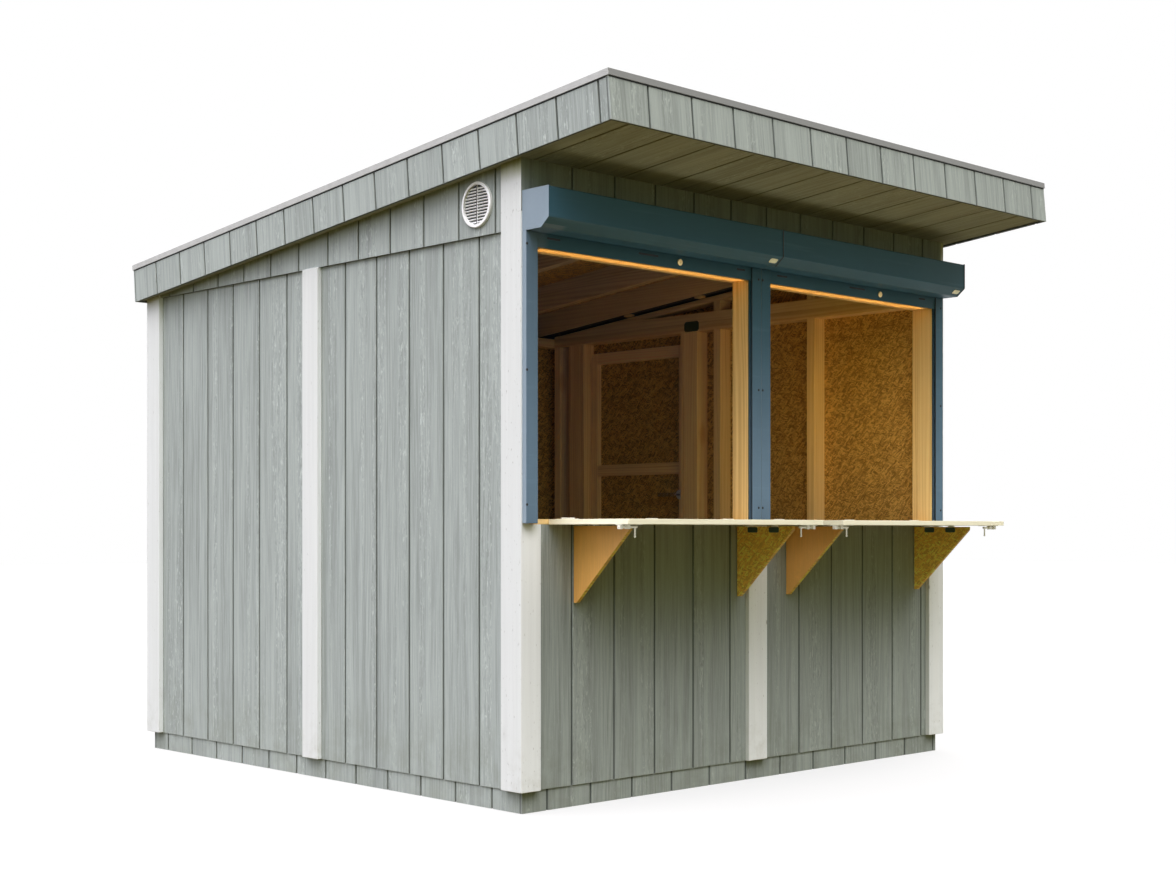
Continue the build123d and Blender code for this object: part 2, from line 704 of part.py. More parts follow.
# Folding brackets: tapering plywood triangles hung on pins under the boards
bracket_top = apron_top - moving_gap
bracket_bottom = bracket_top - bracket_drop
bracket_rear = wall_front - moving_gap
bracket_axis_z = apron_top - hinge_pin_radius - running_gap
bracket_names = ("bracket_left_outer", "bracket_left_inner", "bracket_right_inner", "bracket_right_outer")
bracket_ways = (1, -1, 1, -1)
board_ends = boards[0] + boards[1]
bracket_starts = []
for end_x, way, inset in zip(board_ends, bracket_ways, bracket_insets):
    bracket_starts.append(end_x + way * inset - (0 if way > 0 else bracket_thickness))
for name, start in zip(bracket_names, bracket_starts):
    with BuildPart() as bracket:
        with BuildSketch(Plane.YZ.offset(start)):
            with BuildLine():
                Polyline(
                    (bracket_rear, bracket_top),
                    (bracket_rear, bracket_bottom),
                    (bracket_rear - bracket_nose, bracket_bottom),
                    (bracket_rear - bracket_reach, bracket_top - bracket_nose),
                    (bracket_rear - bracket_reach, bracket_top),
                    close=True,
                )
            make_face()
        extrude(amount=bracket_thickness)
    finish(bracket, name)

# Steel fittings under each board: bracket hinge leaves with their pins, and barrel bolt plates
bolt_y = board_front + bolt_setback
bolt_axis_z = apron_top - bolt_plate_thickness - bolt_guide_size / 2
bolt_names = ("bolt_left_outer", "bolt_left_inner", "bolt_right_inner", "bolt_right_outer")
bolt_ways = (-1, 1, -1, 1)


def bracket_hinge(start, way):
    """Add a bracket's hinge pins and board-side leaves under the counter board."""
    face_x = start + (bracket_thickness if way > 0 else 0)
    axis_x = face_x + way * (hinge_pin_radius + running_gap)
    for share in bracket_hinge_shares:
        middle_y = bracket_rear - share * bracket_reach
        with Locations(Plane((axis_x, middle_y, bracket_axis_z), x_dir=(1, 0, 0), z_dir=(0, 1, 0))):
            Cylinder(hinge_pin_radius, bracket_hinge_length)
        near, far = sorted((axis_x, axis_x + way * hinge_leaf_width))
        block((near, middle_y - bracket_hinge_length / 2, apron_top - hinge_leaf_thickness),
              (far, middle_y + bracket_hinge_length / 2, apron_top))


def board_leaves(start, end):
    """Add the hinge leaves that are screwed to the top of a counter board, behind the hinge pins."""
    leaf_end = counter_axis_y - hinge_pin_radius - running_gap
    for middle in hinge_middles(start, end):
        low = middle - counter_hinge_length / 2
        block((low, leaf_end - hinge_leaf_width, counter_top),
              (low + counter_hinge_length, leaf_end, counter_top + hinge_leaf_thickness))


def bolt_plate(end_x, way):
    """Add a barrel bolt's plate and its guides at one end of a counter board."""
    near, far = sorted((end_x, end_x - way * bolt_plate_length))
    block((near, bolt_y - bolt_plate_width / 2, apron_top - bolt_plate_thickness),
          (far, bolt_y + bolt_plate_width / 2, apron_top))
    for share in bolt_guide_shares:
        with Locations((end_x - way * share * bolt_plate_length, bolt_y, bolt_axis_z)):
            Box(bolt_guide_length, bolt_guide_size, bolt_guide_size)
    with Locations(Plane(((near + far) / 2, bolt_y, bolt_axis_z), x_dir=(0, 1, 0), z_dir=(1, 0, 0))):
        Cylinder(bolt_radius + running_gap, bolt_plate_length + overrun, mode=Mode.SUBTRACT)


for index, side in enumerate(("left", "right")):
    pair = (2 * index, 2 * index + 1)
    with BuildPart() as counter_fittings:
        board_leaves(*boards[index])
        for item in pair:
            bracket_hinge(bracket_starts[item], bracket_ways[item])
            bolt_plate(board_ends[item], bolt_ways[item])
    finish(counter_fittings, f"counter_fittings_{side}")

for name, end_x, way in zip(bolt_names, board_ends, bolt_ways):
    rod_middle = end_x - way * bolt_rod_length / 2
    knob_x = end_x - way * bolt_knob_share * bolt_plate_length
    with BuildPart() as bolt:
        with Locations(Plane((rod_middle, bolt_y, bolt_axis_z), x_dir=(0, 1, 0), z_dir=(1, 0, 0))):
            Cylinder(bolt_radius, bolt_rod_length)
        with BuildSketch(Plane((knob_x, bolt_y, bolt_axis_z), x_dir=(1, 0, 0), z_dir=(0, 0, -1))):
            Circle(bolt_knob_radius)
        extrude(amount=bolt_knob_length)
        with Locations((knob_x, bolt_y, bolt_axis_z - bolt_knob_length)):
            Sphere(bolt_radius)
    finish(bolt, name)
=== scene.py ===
import json
import math
import random

import bmesh
import bpy
import numpy as np
from bpy.props import FloatProperty, FloatVectorProperty, PointerProperty
from mathutils import Matrix, Vector


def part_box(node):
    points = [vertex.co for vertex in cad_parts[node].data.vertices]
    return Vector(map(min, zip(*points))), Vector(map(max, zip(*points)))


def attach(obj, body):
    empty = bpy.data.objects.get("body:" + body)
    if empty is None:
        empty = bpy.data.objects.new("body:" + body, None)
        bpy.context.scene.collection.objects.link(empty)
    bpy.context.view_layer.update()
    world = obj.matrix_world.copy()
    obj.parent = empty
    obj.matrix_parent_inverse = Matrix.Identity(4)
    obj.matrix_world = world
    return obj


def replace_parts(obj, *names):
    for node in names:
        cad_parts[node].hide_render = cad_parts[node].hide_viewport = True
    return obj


bl_info = {
    "name": "Market hut",
    "version": (1, 0, 0),
    "blender": (4, 5, 0),
    "location": "3D View > Sidebar > Hut",
    "description": "Builds the visible surfaces of a timber market hut around its frame",
    "category": "Object",
}

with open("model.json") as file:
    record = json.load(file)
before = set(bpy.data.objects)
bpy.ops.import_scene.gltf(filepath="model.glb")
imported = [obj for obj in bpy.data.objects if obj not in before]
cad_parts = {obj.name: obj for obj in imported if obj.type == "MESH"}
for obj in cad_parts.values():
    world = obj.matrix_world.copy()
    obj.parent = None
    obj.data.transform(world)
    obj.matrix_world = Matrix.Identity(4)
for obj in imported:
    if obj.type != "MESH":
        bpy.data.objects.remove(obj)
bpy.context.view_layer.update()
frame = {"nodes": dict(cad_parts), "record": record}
BODY_OF = {node: body for body, nodes in frame["record"]["behaviour"]["bodies"].items() for node in nodes}
PITCH = math.radians(5.3)
LEVEL = Matrix.Identity(3)
SLOPED = Matrix.Rotation(-PITCH, 3, "X")
RIGHT, BACK, UP = Vector((1, 0, 0)), Vector((0, 1, 0)), Vector((0, 0, 1))
WALL_LEFT, WALL_FRONT = -1.1885, -1.0365

# Where a groove lies on each face: along y on the sides, along x on the front, rear and soffits
GROOVE_SIDE, GROOVE_UPPER = WALL_FRONT + 0.229, WALL_FRONT + 0.1262
GROOVE_FRONT, GROOVE_OVER_BOX = WALL_LEFT + 0.228, WALL_LEFT + 0.2125
GROOVE_PLINTH = (WALL_LEFT + 0.1181, WALL_FRONT + 0.1664)
GROOVE_FASCIA = (WALL_LEFT + 0.108, -1.4985)
GROOVE_SOFFIT = WALL_LEFT + 0.040

# Turn and scale of each layer of strands, from the lowest up
STRAND_LAYERS = ((0.35, (50, 200, 1)), (1.25, (54, 220, 1)), (2.3, (48, 200, 1)), (0.0, (56, 240, 1)),
                 (2.75, (52, 230, 1)), (0.8, (50, 210, 1)))

# Places on the shutters: rail screws, locks, and the slots' middles and lengths; the slots are dark plates
# of painted shade
SCREWS_X, SCREWS_Z = (-1.201, -0.0302, -0.007, 1.158), (1.052, 1.507, 1.933)
SCREW_RADIUS, SCREW_RISE = 0.0048, 0.45
LOCKS_X, LOCKS_Z, SLOTS_Z = (-0.459, 0.737), 1.953, 1.962
LOCK_ROWS = ((0.0125, 0.0), (0.0125, 0.003), (0.0105, 0.0045), (0.0045, 0.0045), (0.0040, 0.0025),
             (0.001, 0.0025))
SLOTS = ((-1.075, 0.06), (-0.62, 0.10), (-0.125, 0.045), (0.115, 0.06), (0.585, 0.10), (1.03, 0.045))
CHAMFER = Vector((0, 0.040, -0.032))
SLOT_HEIGHT, DARK_LINE_WIDTH, RAIL_MOUTH = 0.007, 0.005, 0.016

# The vent's opening: radius, blades, half the rib's width, a slot's height and the gap at its end; its dark
# slot and rib plates are painted shade
VENT_RADIUS, VENT_BLADES, VENT_RIB, VENT_SLOT, VENT_GAP = 0.069, 12, 0.0028, 0.006, 0.002
VENT_SHADE = ((0.0685, 0.0), (0.0685, 0.0006), (0.066, 0.001), (0.02, 0.0012))
SLOT_DEPTH, RIB_DEPTH, RIB_LINE = 0.0014, 0.005, 0.003

# Thickness of dark lines, and length, width and thickness of plates
THIN = 0.0006
PACKER, JOINING, BARE_PLATE, HINGE_LEAF = (
    (0.05, 0.044, 0.006), (0.10, 0.05, 0.0012), (0.042, 0.022, 0.0012), (0.05, 0.021, 0.0016))
PACKER_X, PACKERS_Y, JOINING_YZ, TOP_PLATE_WIDTH = 1.079, (0.1035, 0.606), (0.378, 1.9725), 0.075
BARE_PLATE_INSET, HINGE_REACHES, HINGE_DROP = 0.037, (0.080, 0.188), 0.013

# Rounding of sheet, board, bracket and thin metal edges
SHEET_EASE, BOARD_EASE, BRACKET_EASE, THIN_EASE = 0.001, 0.0008, 0.0006, 0.0004

# Where painted shade darkens the undersides of the fascia and the rafters
FASCIA_RIGHT, RAFTER_RIGHT = 1.2, 1.05

# Soft patches of sky: direction, cosine of the patch's edge, colour
SKY_LOBES = (
    ((0, 0, 1), 0.5, (5.95, 5.75, 5.5)), ((-0.85, 0, 0.53), 0.55, (0.53, 0.48, 0.5)),
    ((-0.99, 0, 0.1), 0.6, (0.40, 0.37, 0.34)), ((-0.7, -0.7, 0.12), 0.6, (0.43, 0.55, 0.25)),
    ((0, -0.99, 0.1), 0.6, (0.05, 0.05, 0.045)), ((0, -0.5, 0.87), 0.75, (0.22, 0.22, 0.22)),
    ((-0.45, -0.45, 0.77), 0.8, (1.5, 1.4, 1.9)), ((-0.66, 0.66, 0.35), 0.6, (1.16, 1.18, 1.65)),
    ((0.66, 0.66, 0.35), 0.6, (0.6, 0.6, 0.65)), ((0.85, 0, 0.53), 0.55, (0.10, 0.10, 0.10)),
)
FLOOR_GLOW, FLOOR_GREY, FLOOR_SHADOW = (0.155, 0.118, 0.02), (0.5, 0.5, 0.5), 0.25
FLOOR_REACH, FLOOR_DROP = 40.0, -0.0005

# Small lights for the inside: name, place, direction, size, spread in degrees, colour, power
ROOM_LIGHTS = (
    ("fill_right", (0.5, -0.88, 1.45), (0.75, 0.66, -0.05), (0.5, 0.7), 120, (1.0, 0.6, 0.05), 0.62),
    ("fill_left", (-0.55, -0.88, 1.45), (0.35, 0.94, -0.05), (0.8, 0.7), 120, (0.09, 0.34, 1.0), 1.5),
    ("lintel_glow", (0.0, -1.0097, 1.80), (0, 0, 1), (2.2, 0.052), 5, (1.0, 0.58, 0.2), 0.28),
)
CAMERA_PLACE, CAMERA_HEADING = (-4.9210, -5.45055, 0.9626), math.radians(45.26)
CAMERA_LENS, CAMERA_SENSOR, CAMERA_SHIFT = 51.93, 36.0, (-0.0710, 0.0765)


# Values and nodes

def both_ways(operation):
    """Give the plain and the reflected method of one Math operation."""
    return (lambda self, other: self.math(operation, self, other),
            lambda self, other: self.math(operation, other, self))


class Value:
    """A socket whose arithmetic adds Math nodes to its tree."""

    def __init__(self, tree, socket):
        self.tree = tree
        self.socket = socket

    def math(self, operation, first, second=0.0):
        node = self.tree.nodes.new("ShaderNodeMath")
        node.operation = operation
        connect(self.tree, node.inputs[0], first)
        connect(self.tree, node.inputs[1], second)
        return Value(self.tree, node.outputs[0])

    __add__, __radd__ = both_ways("ADD")
    __sub__, __rsub__ = both_ways("SUBTRACT")
    __mul__, __rmul__ = both_ways("MULTIPLY")
    __truediv__, __rtruediv__ = both_ways("DIVIDE")
    __gt__, __lt__ = both_ways("GREATER_THAN")


def connect(tree, socket, item):
    """Link a value to a socket, or set the socket to a constant."""
    if isinstance(item, Value):
        tree.links.new(item.socket, socket)
    elif socket.type == "RGBA":
        socket.default_value = tuple(item)[:3] + (1.0,)
    else:
        socket.default_value = item


class Tree:
    """A node tree with one method that makes any node."""

    def __init__(self, tree):
        self.tree = tree

    def node(self, kind, settings=None, inputs=None, output=0):
        node = self.tree.nodes.new(kind)
        for key, setting in (settings or {}).items():
            if key == "stops":
                ramp = node.color_ramp.elements
                while len(ramp) < len(setting):
                    ramp.new(1.0)
                for element, (place, colour) in zip(ramp, setting):
                    element.position = place
                    element.color = tuple(colour) + (1.0,)
            else:
                setattr(node, key, setting)
        for key, item in (inputs or {}).items():
            connect(self.tree, node.inputs[key], item)
        return Value(self.tree, node.outputs[output]) if node.outputs else node

    def attribute(self, name, output="Fac"):
        return self.node("ShaderNodeAttribute", {"attribute_name": name}, output=output)

    def mapped(self, vector, scale, turn=(0, 0, 0), move=(0, 0, 0)):
        return self.node("ShaderNodeMapping", None, {0: vector, 1: move, 2: turn, 3: scale})

    def noise(self, vector, scale, detail=2.0, rough=0.5, distort=0.0, move=(0, 0, 0), output=0):
        """Noise at one scale, or stretched by a scale for each axis."""
        if isinstance(scale, tuple):
            vector, scale = self.mapped(vector, scale, move=move), 1.0
        return self.node("ShaderNodeTexNoise", None, {
            "Vector": vector, "Scale": scale, "Detail": detail, "Roughness": rough,
            "Distortion": distort}, output)

    def vector(self, x=0.0, y=0.0, z=0.0):
        return self.node("ShaderNodeCombineXYZ", None, {0: x, 1: y, 2: z})

    def parts(self, vector):
        node = self.node("ShaderNodeSeparateXYZ", None, {0: vector})
        return [Value(self.tree, socket) for socket in node.socket.node.outputs]

    def span(self, value, low, high, start=0.0, end=1.0):
        return self.node("ShaderNodeMapRange", {"clamp": True, "interpolation_type": "SMOOTHSTEP"}, {
            0: value, 1: low, 2: high, 3: start, 4: end})

    def sine(self, value):
        return value.math("SINE", value)

    def blend(self, share, first, second, how="MIX"):
        return self.node("ShaderNodeMix", {"data_type": "RGBA", "blend_type": how}, {
            0: share, 6: first, 7: second}, output=2)

    def ramp(self, value, stops):
        return self.node("ShaderNodeValToRGB", {"stops": stops}, {0: value})

    def bump(self, height, strength, distance):
        return self.node("ShaderNodeBump", None, {
            "Strength": strength, "Distance": distance, "Height": height})

    def facing(self, axis):
        """Give 1 on faces that look back along an axis."""
        normal = self.node("ShaderNodeNewGeometry", output="Normal")
        return self.span(self.parts(normal)[axis], -0.4, -0.9)

    def join(self, first, second):
        joined = self.node("GeometryNodeJoinGeometry", None, {0: first})
        connect(self.tree, joined.socket.node.inputs[0], second)
        return joined


class Look(Tree):
    """A material with one Principled shader."""

    def __init__(self, name, **constants):
        self.material = bpy.data.materials.new(name)
        self.material.use_nodes = True
        super().__init__(self.material.node_tree)
        self.shader = self.tree.nodes["Principled BSDF"]
        for key, item in constants.items():
            self.set(key.replace("_", " ").title(), item)

    def set(self, name, item):
        connect(self.tree, self.shader.inputs[name.replace("Ior", "IOR")], item)

    def surface(self, colour, roughness, normal):
        """Set what varies over the surface, and give the material."""
        self.set("Base Color", colour)
        self.set("Roughness", roughness)
        self.set("Normal", normal)
        return self.material

    def grain(self):
        return self.attribute("grain", "Vector")

    def place(self):
        return self.node("ShaderNodeTexCoord", output="Object")


def tint(colour, *shares):
    """Give a colour times one share, or times a share for each channel."""
    return [part * share for part, share in zip(colour, shares * 3)]


# Materials

def knots(look, grain, density, size):
    """Give the share of knots on a board, and of the halos round them."""
    cells = look.node("ShaderNodeTexVoronoi", {"feature": "F1"}, {
        "Vector": look.mapped(grain, (density, density, density * 0.45)), "Scale": 1.0, "Randomness": 0.9})
    picked = look.parts(Value(look.tree, cells.socket.node.outputs["Color"]))[0] > 0.55
    return look.span(cells, size, size * 0.35) * picked, look.span(cells, size * 3.2, size) * picked


def paint_siding(name, paint):
    """Sage paint over an embossed grain: streaks, arched grain lines, flecks, curls and a few knots, with
    painted shade in the grooves.
    """
    look = Look(name, specular_ior_level=0.08)
    grain, place = look.grain(), look.place()
    fine = look.noise(grain, (150, 150, 5), 3.0, 0.6)
    streak = look.noise(grain, (38, 38, 1.1), 4.0, 0.55, 0.5)
    broad = look.noise(grain, (11, 11, 0.5))
    fleck = look.noise(grain, (320, 320, 55), 2.0, 0.7)
    warp = look.noise(grain, (7, 7, 0.85), 1.5)
    patch = look.span(look.noise(grain, (5, 5, 0.7), 1.0, move=(3, 1, 7)), 0.46, 0.62)
    arch = look.span(look.sine(look.parts(grain)[0] * 330.0 + warp * 46.0), 0.25, 1.0) * patch
    knot, halo = knots(look, grain, 5.2, 0.045)
    curl = look.noise(grain, (105, 105, 24), 2.0, 0.6, 1.2)
    band = look.span(look.noise(grain, (15, 15, 0.35), 1.0, move=(5, 2, 1)), 0.5, 0.62)
    shade = streak * 0.5 + broad * 0.2 + fine * 0.46 + look.attribute("tone") * 0.03 - 0.17
    base = look.ramp(shade, [(0.2, tint(paint, 0.58)), (0.42, tint(paint, 0.88)),
                             (0.6, tint(paint, 1.05)), (0.82, tint(paint, 1.28))])
    lines = (arch * 0.34 + look.span(fleck, 0.6, 0.78) * 0.3 + knot * 0.45 + halo * 0.10
             + look.span(curl, 0.44, 0.32) * band * 0.5)
    dark = look.blend(lines, base, tint(paint, 0.58))
    light = look.span(fleck, 0.38, 0.22) * 0.4 + look.span(curl, 0.57, 0.68) * band * 0.55
    pale = look.blend(light, dark, tint(paint, 1.42))
    low = look.span(look.parts(place)[2], 0.42, 0.05)
    grime = low * look.span(look.noise(place, 9.0, 4.0, 0.65), 0.35, 0.75) * 0.4
    grimy = look.blend(grime, pale, (0.2, 0.22, 0.17))
    # Painted shade: the grooves are darkened by their depth, standing for the shade inside them
    groove_shade = look.span(look.attribute("sunk"), 0.15, 0.9)
    relief = streak * 0.9 + fine * 0.55 - arch * 0.5 - fleck * 0.3 - knot * 0.5
    return look.surface(look.blend(groove_shade * 0.8, grimy, tint(paint, 0.2)), 0.66 + streak * 0.22,
                        look.bump(relief, 0.42, 0.002))


def paint_white(white):
    """Whitewashed planed boards: faint streaks, dents and small grey knots, a stain near the eaves, and
    painted shade on faces that look toward -X.
    """
    look = Look("white_trim", specular_ior_level=0.15)
    grain, place = look.grain(), look.place()
    streak = look.noise(grain, (60, 60, 1.6), 4.0, 0.6)
    fine = look.noise(grain, (300, 300, 14))
    knot, halo = knots(look, grain, 9.0, 0.05)
    dents = look.span(look.noise(grain, (190, 190, 55), 1.0), 0.7, 0.8)
    base = look.blend(look.span(streak, 0.3, 0.75) * 0.6 + fine * 0.12, tint(white, 0.93), tint(white, 1.03))
    dented = look.blend(knot * 0.6 + halo * 0.06 + dents * 0.5, base, (0.33, 0.33, 0.31))
    height = look.parts(place)[2]
    low = look.span(height, 0.34, 0.06) * look.span(look.noise(place, 14.0, 4.0, 0.65), 0.4, 0.8) * 0.3
    dirty = look.blend(low, dented, (0.4, 0.39, 0.31))
    stain = look.span(height, 2.14, 2.215) * look.span(streak, 0.25, 0.6, 0.45, 0.75)
    stained = look.blend(stain, dirty, (0.40, 0.42, 0.16))
    relief = streak * 0.8 + fine * 0.5 - knot * 0.7 - dents * 0.8
    # Painted shade: faces that look toward -X are multiplied darker
    return look.surface(look.blend(look.facing(0), stained, (0.72, 0.725, 0.70), "MULTIPLY"),
                        0.58 + streak * 0.2, look.bump(relief, 0.3, 0.0012))


def raw_timber(wood):
    """Planed softwood: growth lines, warm streaks, knots, a tone for each board, and painted shade near the
    roof.
    """
    look = Look("framing_timber", specular_ior_level=0.3)
    grain = look.grain()
    warp = look.noise(grain, (9, 9, 0.6))
    across, deep, _ = look.parts(grain)
    rings = look.sine((across + deep * 0.7) * 420.0 + warp * 34.0)
    streak = look.noise(grain, (70, 70, 1.4), 4.0, 0.6)
    fibre = look.noise(grain, (420, 420, 16))
    knot, halo = knots(look, grain, 6.5, 0.075)
    shade = look.span(rings, -1.0, 1.0) * 0.14 + streak * 0.5 + look.attribute("tone") * 0.1 + 0.18
    base = look.ramp(shade, [(0.22, tint(wood, 0.72, 0.62, 0.5)), (0.5, wood),
                             (0.8, tint(wood, 1.16, 1.22, 1.3))])
    ringed = look.blend(halo * 0.45, base, tint(wood, 0.72, 0.5, 0.34))
    knotted = look.blend(knot * 0.85, ringed, (0.14, 0.055, 0.02))
    # Painted shade: timber above 1.93 m is multiplied darker, standing for the shade under the roof
    high = look.span(look.parts(look.place())[2], 1.93, 1.98)
    roof_shaded = look.blend(high, knotted, (0.72, 0.76, 0.78), "MULTIPLY")
    relief = streak * 0.6 + fibre * 0.4 + rings * 0.12
    return look.surface(look.blend(look.span(fibre, 0.6, 0.8) * 0.2, roof_shaded, tint(wood, 0.55)),
                        0.52 + streak * 0.22, look.bump(relief, 0.25, 0.001))


def strand_board(name, colour, dark=0.45):
    """Pressed strands lying every way: layers of long cells, each one covering a third of those below."""
    look = Look(name, specular_ior_level=0.3)
    across, deep, along = look.parts(look.grain())
    flat = look.vector(across, along, deep * 0.05)
    bend = look.noise(flat, 60.0, 1.0, output="Color")
    top = None
    for turn, scale in STRAND_LAYERS:
        turned = look.mapped(flat, (1, 1, 1), (0, 0, turn), (turn * 0.9, turn * 0.5, 0))
        bent = look.node("ShaderNodeVectorMath", {"operation": "ADD"}, {
            0: look.mapped(turned, scale), 1: bend})
        cell = look.node("ShaderNodeTexVoronoi", {"voronoi_dimensions": "2D"}, {
            "Vector": bent, "Scale": 1.0}, output="Color")
        fibre = look.noise(turned, (scale[0] * 3, scale[1] * 6, 1), 1.0)
        pick, cover, _ = look.parts(cell)
        chip = pick * 0.8 + fibre * 0.2
        top = chip if top is None else top + (chip - top) * (cover > 0.66)
    gap = look.span(look.noise(flat, 120.0, 2.0, 0.6), 0.6, 0.72)
    bright = [min(1.0, part) for part in tint(colour, 1.35, 1.45, 1.6)]
    base = look.ramp(look.span(top, 0.05, 0.95), [
        (0.0, tint(colour, dark)), (0.35, tint(colour, 0.65 + dark / 3)), (0.62, colour), (1.0, bright)])
    return look.surface(look.blend(gap * 0.3, base, tint(colour, 0.4)), 0.45 + top * 0.2,
                        look.bump(top, 0.35, 0.0015))


def plywood(pale):
    """Pale sheet faces with clear veneer lines along the edges."""
    look = Look("pale_plywood", specular_ior_level=0.35)
    place = look.place()
    layer = look.sine(look.parts(place)[2] * 1380.0)
    worn = look.span(look.noise(place, (30, 30, 900)), 0.62, 0.8)
    streak = look.noise(place, (3, 60, 60), 4.0, 0.6)
    face = look.blend(streak, tint(pale, 0.88), tint(pale, 1.05))
    edge = look.blend(look.span(layer, 0.2, 0.9) * 0.5, tint(pale, 1.08), (0.55, 0.42, 0.22))
    rim = look.blend(worn * 0.35, edge, (0.4, 0.28, 0.13))
    side = look.span(look.attribute("edge"), 0.4, 0.6)
    return look.surface(look.blend(side, face, rim), 0.42 + streak * 0.2,
                        look.bump(streak * 0.4 + layer * 0.2, 0.2, 0.0008))


def brown_film(film):
    """Smooth brown faced board with a fine printed grain and light scuffs."""
    look = Look("bracket_board", specular_ior_level=0.4)
    place = look.place()
    weave = look.noise(place, (40, 160, 9), 3.0, 0.6)
    scuff = look.span(look.noise(place, 26.0, 5.0, 0.7), 0.58, 0.78)
    base = look.blend(weave, tint(film, 0.85), tint(film, 1.14))
    return look.surface(look.blend(scuff * 0.22, base, tint(film, 1.5)), 0.34 + scuff * 0.25 + weave * 0.1,
                        look.bump(weave, 0.08, 0.0006))


def blue_paint(blue):
    """Powder coated sheet metal with wash streaks and dust; painted shade darkens it towards the eaves and
    on the right rail, and painted light brightens faces that look toward -X.
    """
    look = Look("blue_shutter", specular_ior_level=0.15)
    place = look.place()
    peel = look.noise(place, 420.0)
    dust = look.noise(place, 7.0, 5.0, 0.65)
    streak = look.noise(place, (3, 60, 60), 3.0)
    x, _, z = look.parts(place)
    rail = z < 1.99
    # Painted shade: darker towards the eaves, less so on the outer rails and more on the right rail
    outer = (look.span(x, -1.09, -1.13) + look.span(x, 1.09, 1.13, 0.0, 0.35)) * rail
    eave_shade = look.span(z, 1.15, 1.97) * (1.0 - outer) * look.span(x, 0.75, 1.3, 1.0, 0.72)
    eave_shade = eave_shade + look.span(x, 1.09, 1.13, 0.0, 0.25) * rail
    shaded = look.blend(eave_shade, blue, tint(blue, 0.37, 0.64, 0.66))
    # Painted light: faces that look toward -X are lighter
    left_lit = look.blend(look.facing(0), shaded, tint(blue, 1.85, 1.5, 1.26))
    washed = look.blend(look.span(streak, 0.55, 0.8) * 0.06, left_lit, tint(blue, 2.2))
    return look.surface(look.blend(look.span(dust, 0.3, 0.75) * 0.12, washed, tint(blue, 0.5)),
                        0.4 + dust * 0.16, look.bump(peel + streak * 0.5, 0.06, 0.0004))


def metal(name, colour, rough, metallic, spots, front=1.0):
    """Sheet metal or plated steel: fine brushing, spots and a varied shine, with painted shade on faces that
    look toward -Y where asked.
    """
    look = Look(name, metallic=metallic, specular_ior_level=0.5)
    place = look.place()
    cloud = look.noise(place, 24.0, 4.0, 0.6)
    brush = look.noise(place, (12, 260, 260), 3.0)
    speck = look.span(look.noise(place, 130.0, 3.0, 0.7), 0.6, 0.75)
    base = look.blend(cloud, tint(colour, 0.8), [min(1.0, part) for part in tint(colour, 1.18)])
    # Painted shade: faces that look toward -Y are darkened to the given share
    if front < 1.0:
        base = look.blend(look.facing(1), base, tint(colour, front))
    return look.surface(look.blend(speck * spots, base, tint(colour, 0.45)),
                        rough + brush * 0.18 + speck * 0.1, look.bump(brush + cloud, 0.08, 0.0005))


def moulded(name, colour, rough):
    """Moulded plastic with faint dust and a fine grained skin."""
    look = Look(name, specular_ior_level=0.4)
    place = look.place()
    dust = look.noise(place, 18.0, 5.0, 0.65)
    skin = look.noise(place, 700.0, 1.0)
    return look.surface(look.blend(look.span(dust, 0.45, 0.8) * 0.25, colour, tint(colour, 0.7)),
                        rough + dust * 0.15, look.bump(skin, 0.06, 0.0004))


def membrane(dark):
    """Dark roof sheet with fine granules, welded laps and washed dust."""
    look = Look("roof_sheet")
    place = look.place()
    grit = look.noise(place, 520.0, 2.0, 0.7)
    dust = look.noise(place, 3.0, 5.0, 0.6)
    lap = look.span(look.sine(look.parts(place)[0] * 6.2), 0.985, 0.998)
    base = look.blend(look.span(dust, 0.4, 0.75), dark, tint(dark, 1.9))
    worn = look.span(grit, 0.55, 0.8) * 0.5 + lap * 0.3
    return look.surface(look.blend(worn, base, tint(dark, 2.6)), 0.75 + dust * 0.2,
                        look.bump(grit * 0.5 + lap, 0.3, 0.0015))


LOOKS = {}


def looks():
    """Make each material once, from the scene's colours."""
    if not LOOKS:
        colours = bpy.context.scene.hut_colours
        LOOKS.update(
            siding=paint_siding("sage_siding", colours.siding),
            lining=paint_siding("soffit_lining", colours.lining),
            white=paint_white(colours.trim), timber=raw_timber(colours.timber),
            strand=strand_board("strand_board", colours.strand),
            gusset=strand_board("bracket_strand", colours.gusset, 0.7),
            ply=plywood(colours.counter), film=brown_film(colours.bracket),
            blue=blue_paint(colours.shutter), roof=membrane(colours.roof),
            # The metal edge has painted shade on its front faces
            edge=metal("edge_metal", colours.edging, 0.34, 0.2, 0.15, 0.52),
            steel=metal("steel", colours.fittings, 0.34, 0.35, 0.25),
            brass=metal("lock_brass", colours.brass, 0.28, 0.9, 0.3),
            chrome=metal("lever_chrome", colours.chrome, 0.16, 1.0, 0.1),
            plate=metal("bare_plate", colours.plate, 0.3, 0.15, 0.2),
            vent=moulded("white_plastic", colours.vent, 0.4),
            # The dark finish is used for seals and for painted shade
            rubber=moulded("dark_seal", colours.seal_and_shade_colour, 0.6),
            hinge=moulded("painted_hinge", colours.hinge, 0.5),
        )
    return LOOKS


# Meshes

def seed_of(name):
    return sum((index + 1) * ord(letter) for index, letter in enumerate(name))


def corners(node):
    return [Vector(corner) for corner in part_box(node)]


def points_of(mesh):
    points = np.empty(len(mesh.vertices) * 3)
    mesh.vertices.foreach_get("co", points)
    return points.reshape(-1, 3)


def box_in(points, basis):
    """Give the corners of points' box along the axes of a basis."""
    turned = points @ np.array(basis)
    return Vector(turned.min(0)), Vector(turned.max(0))


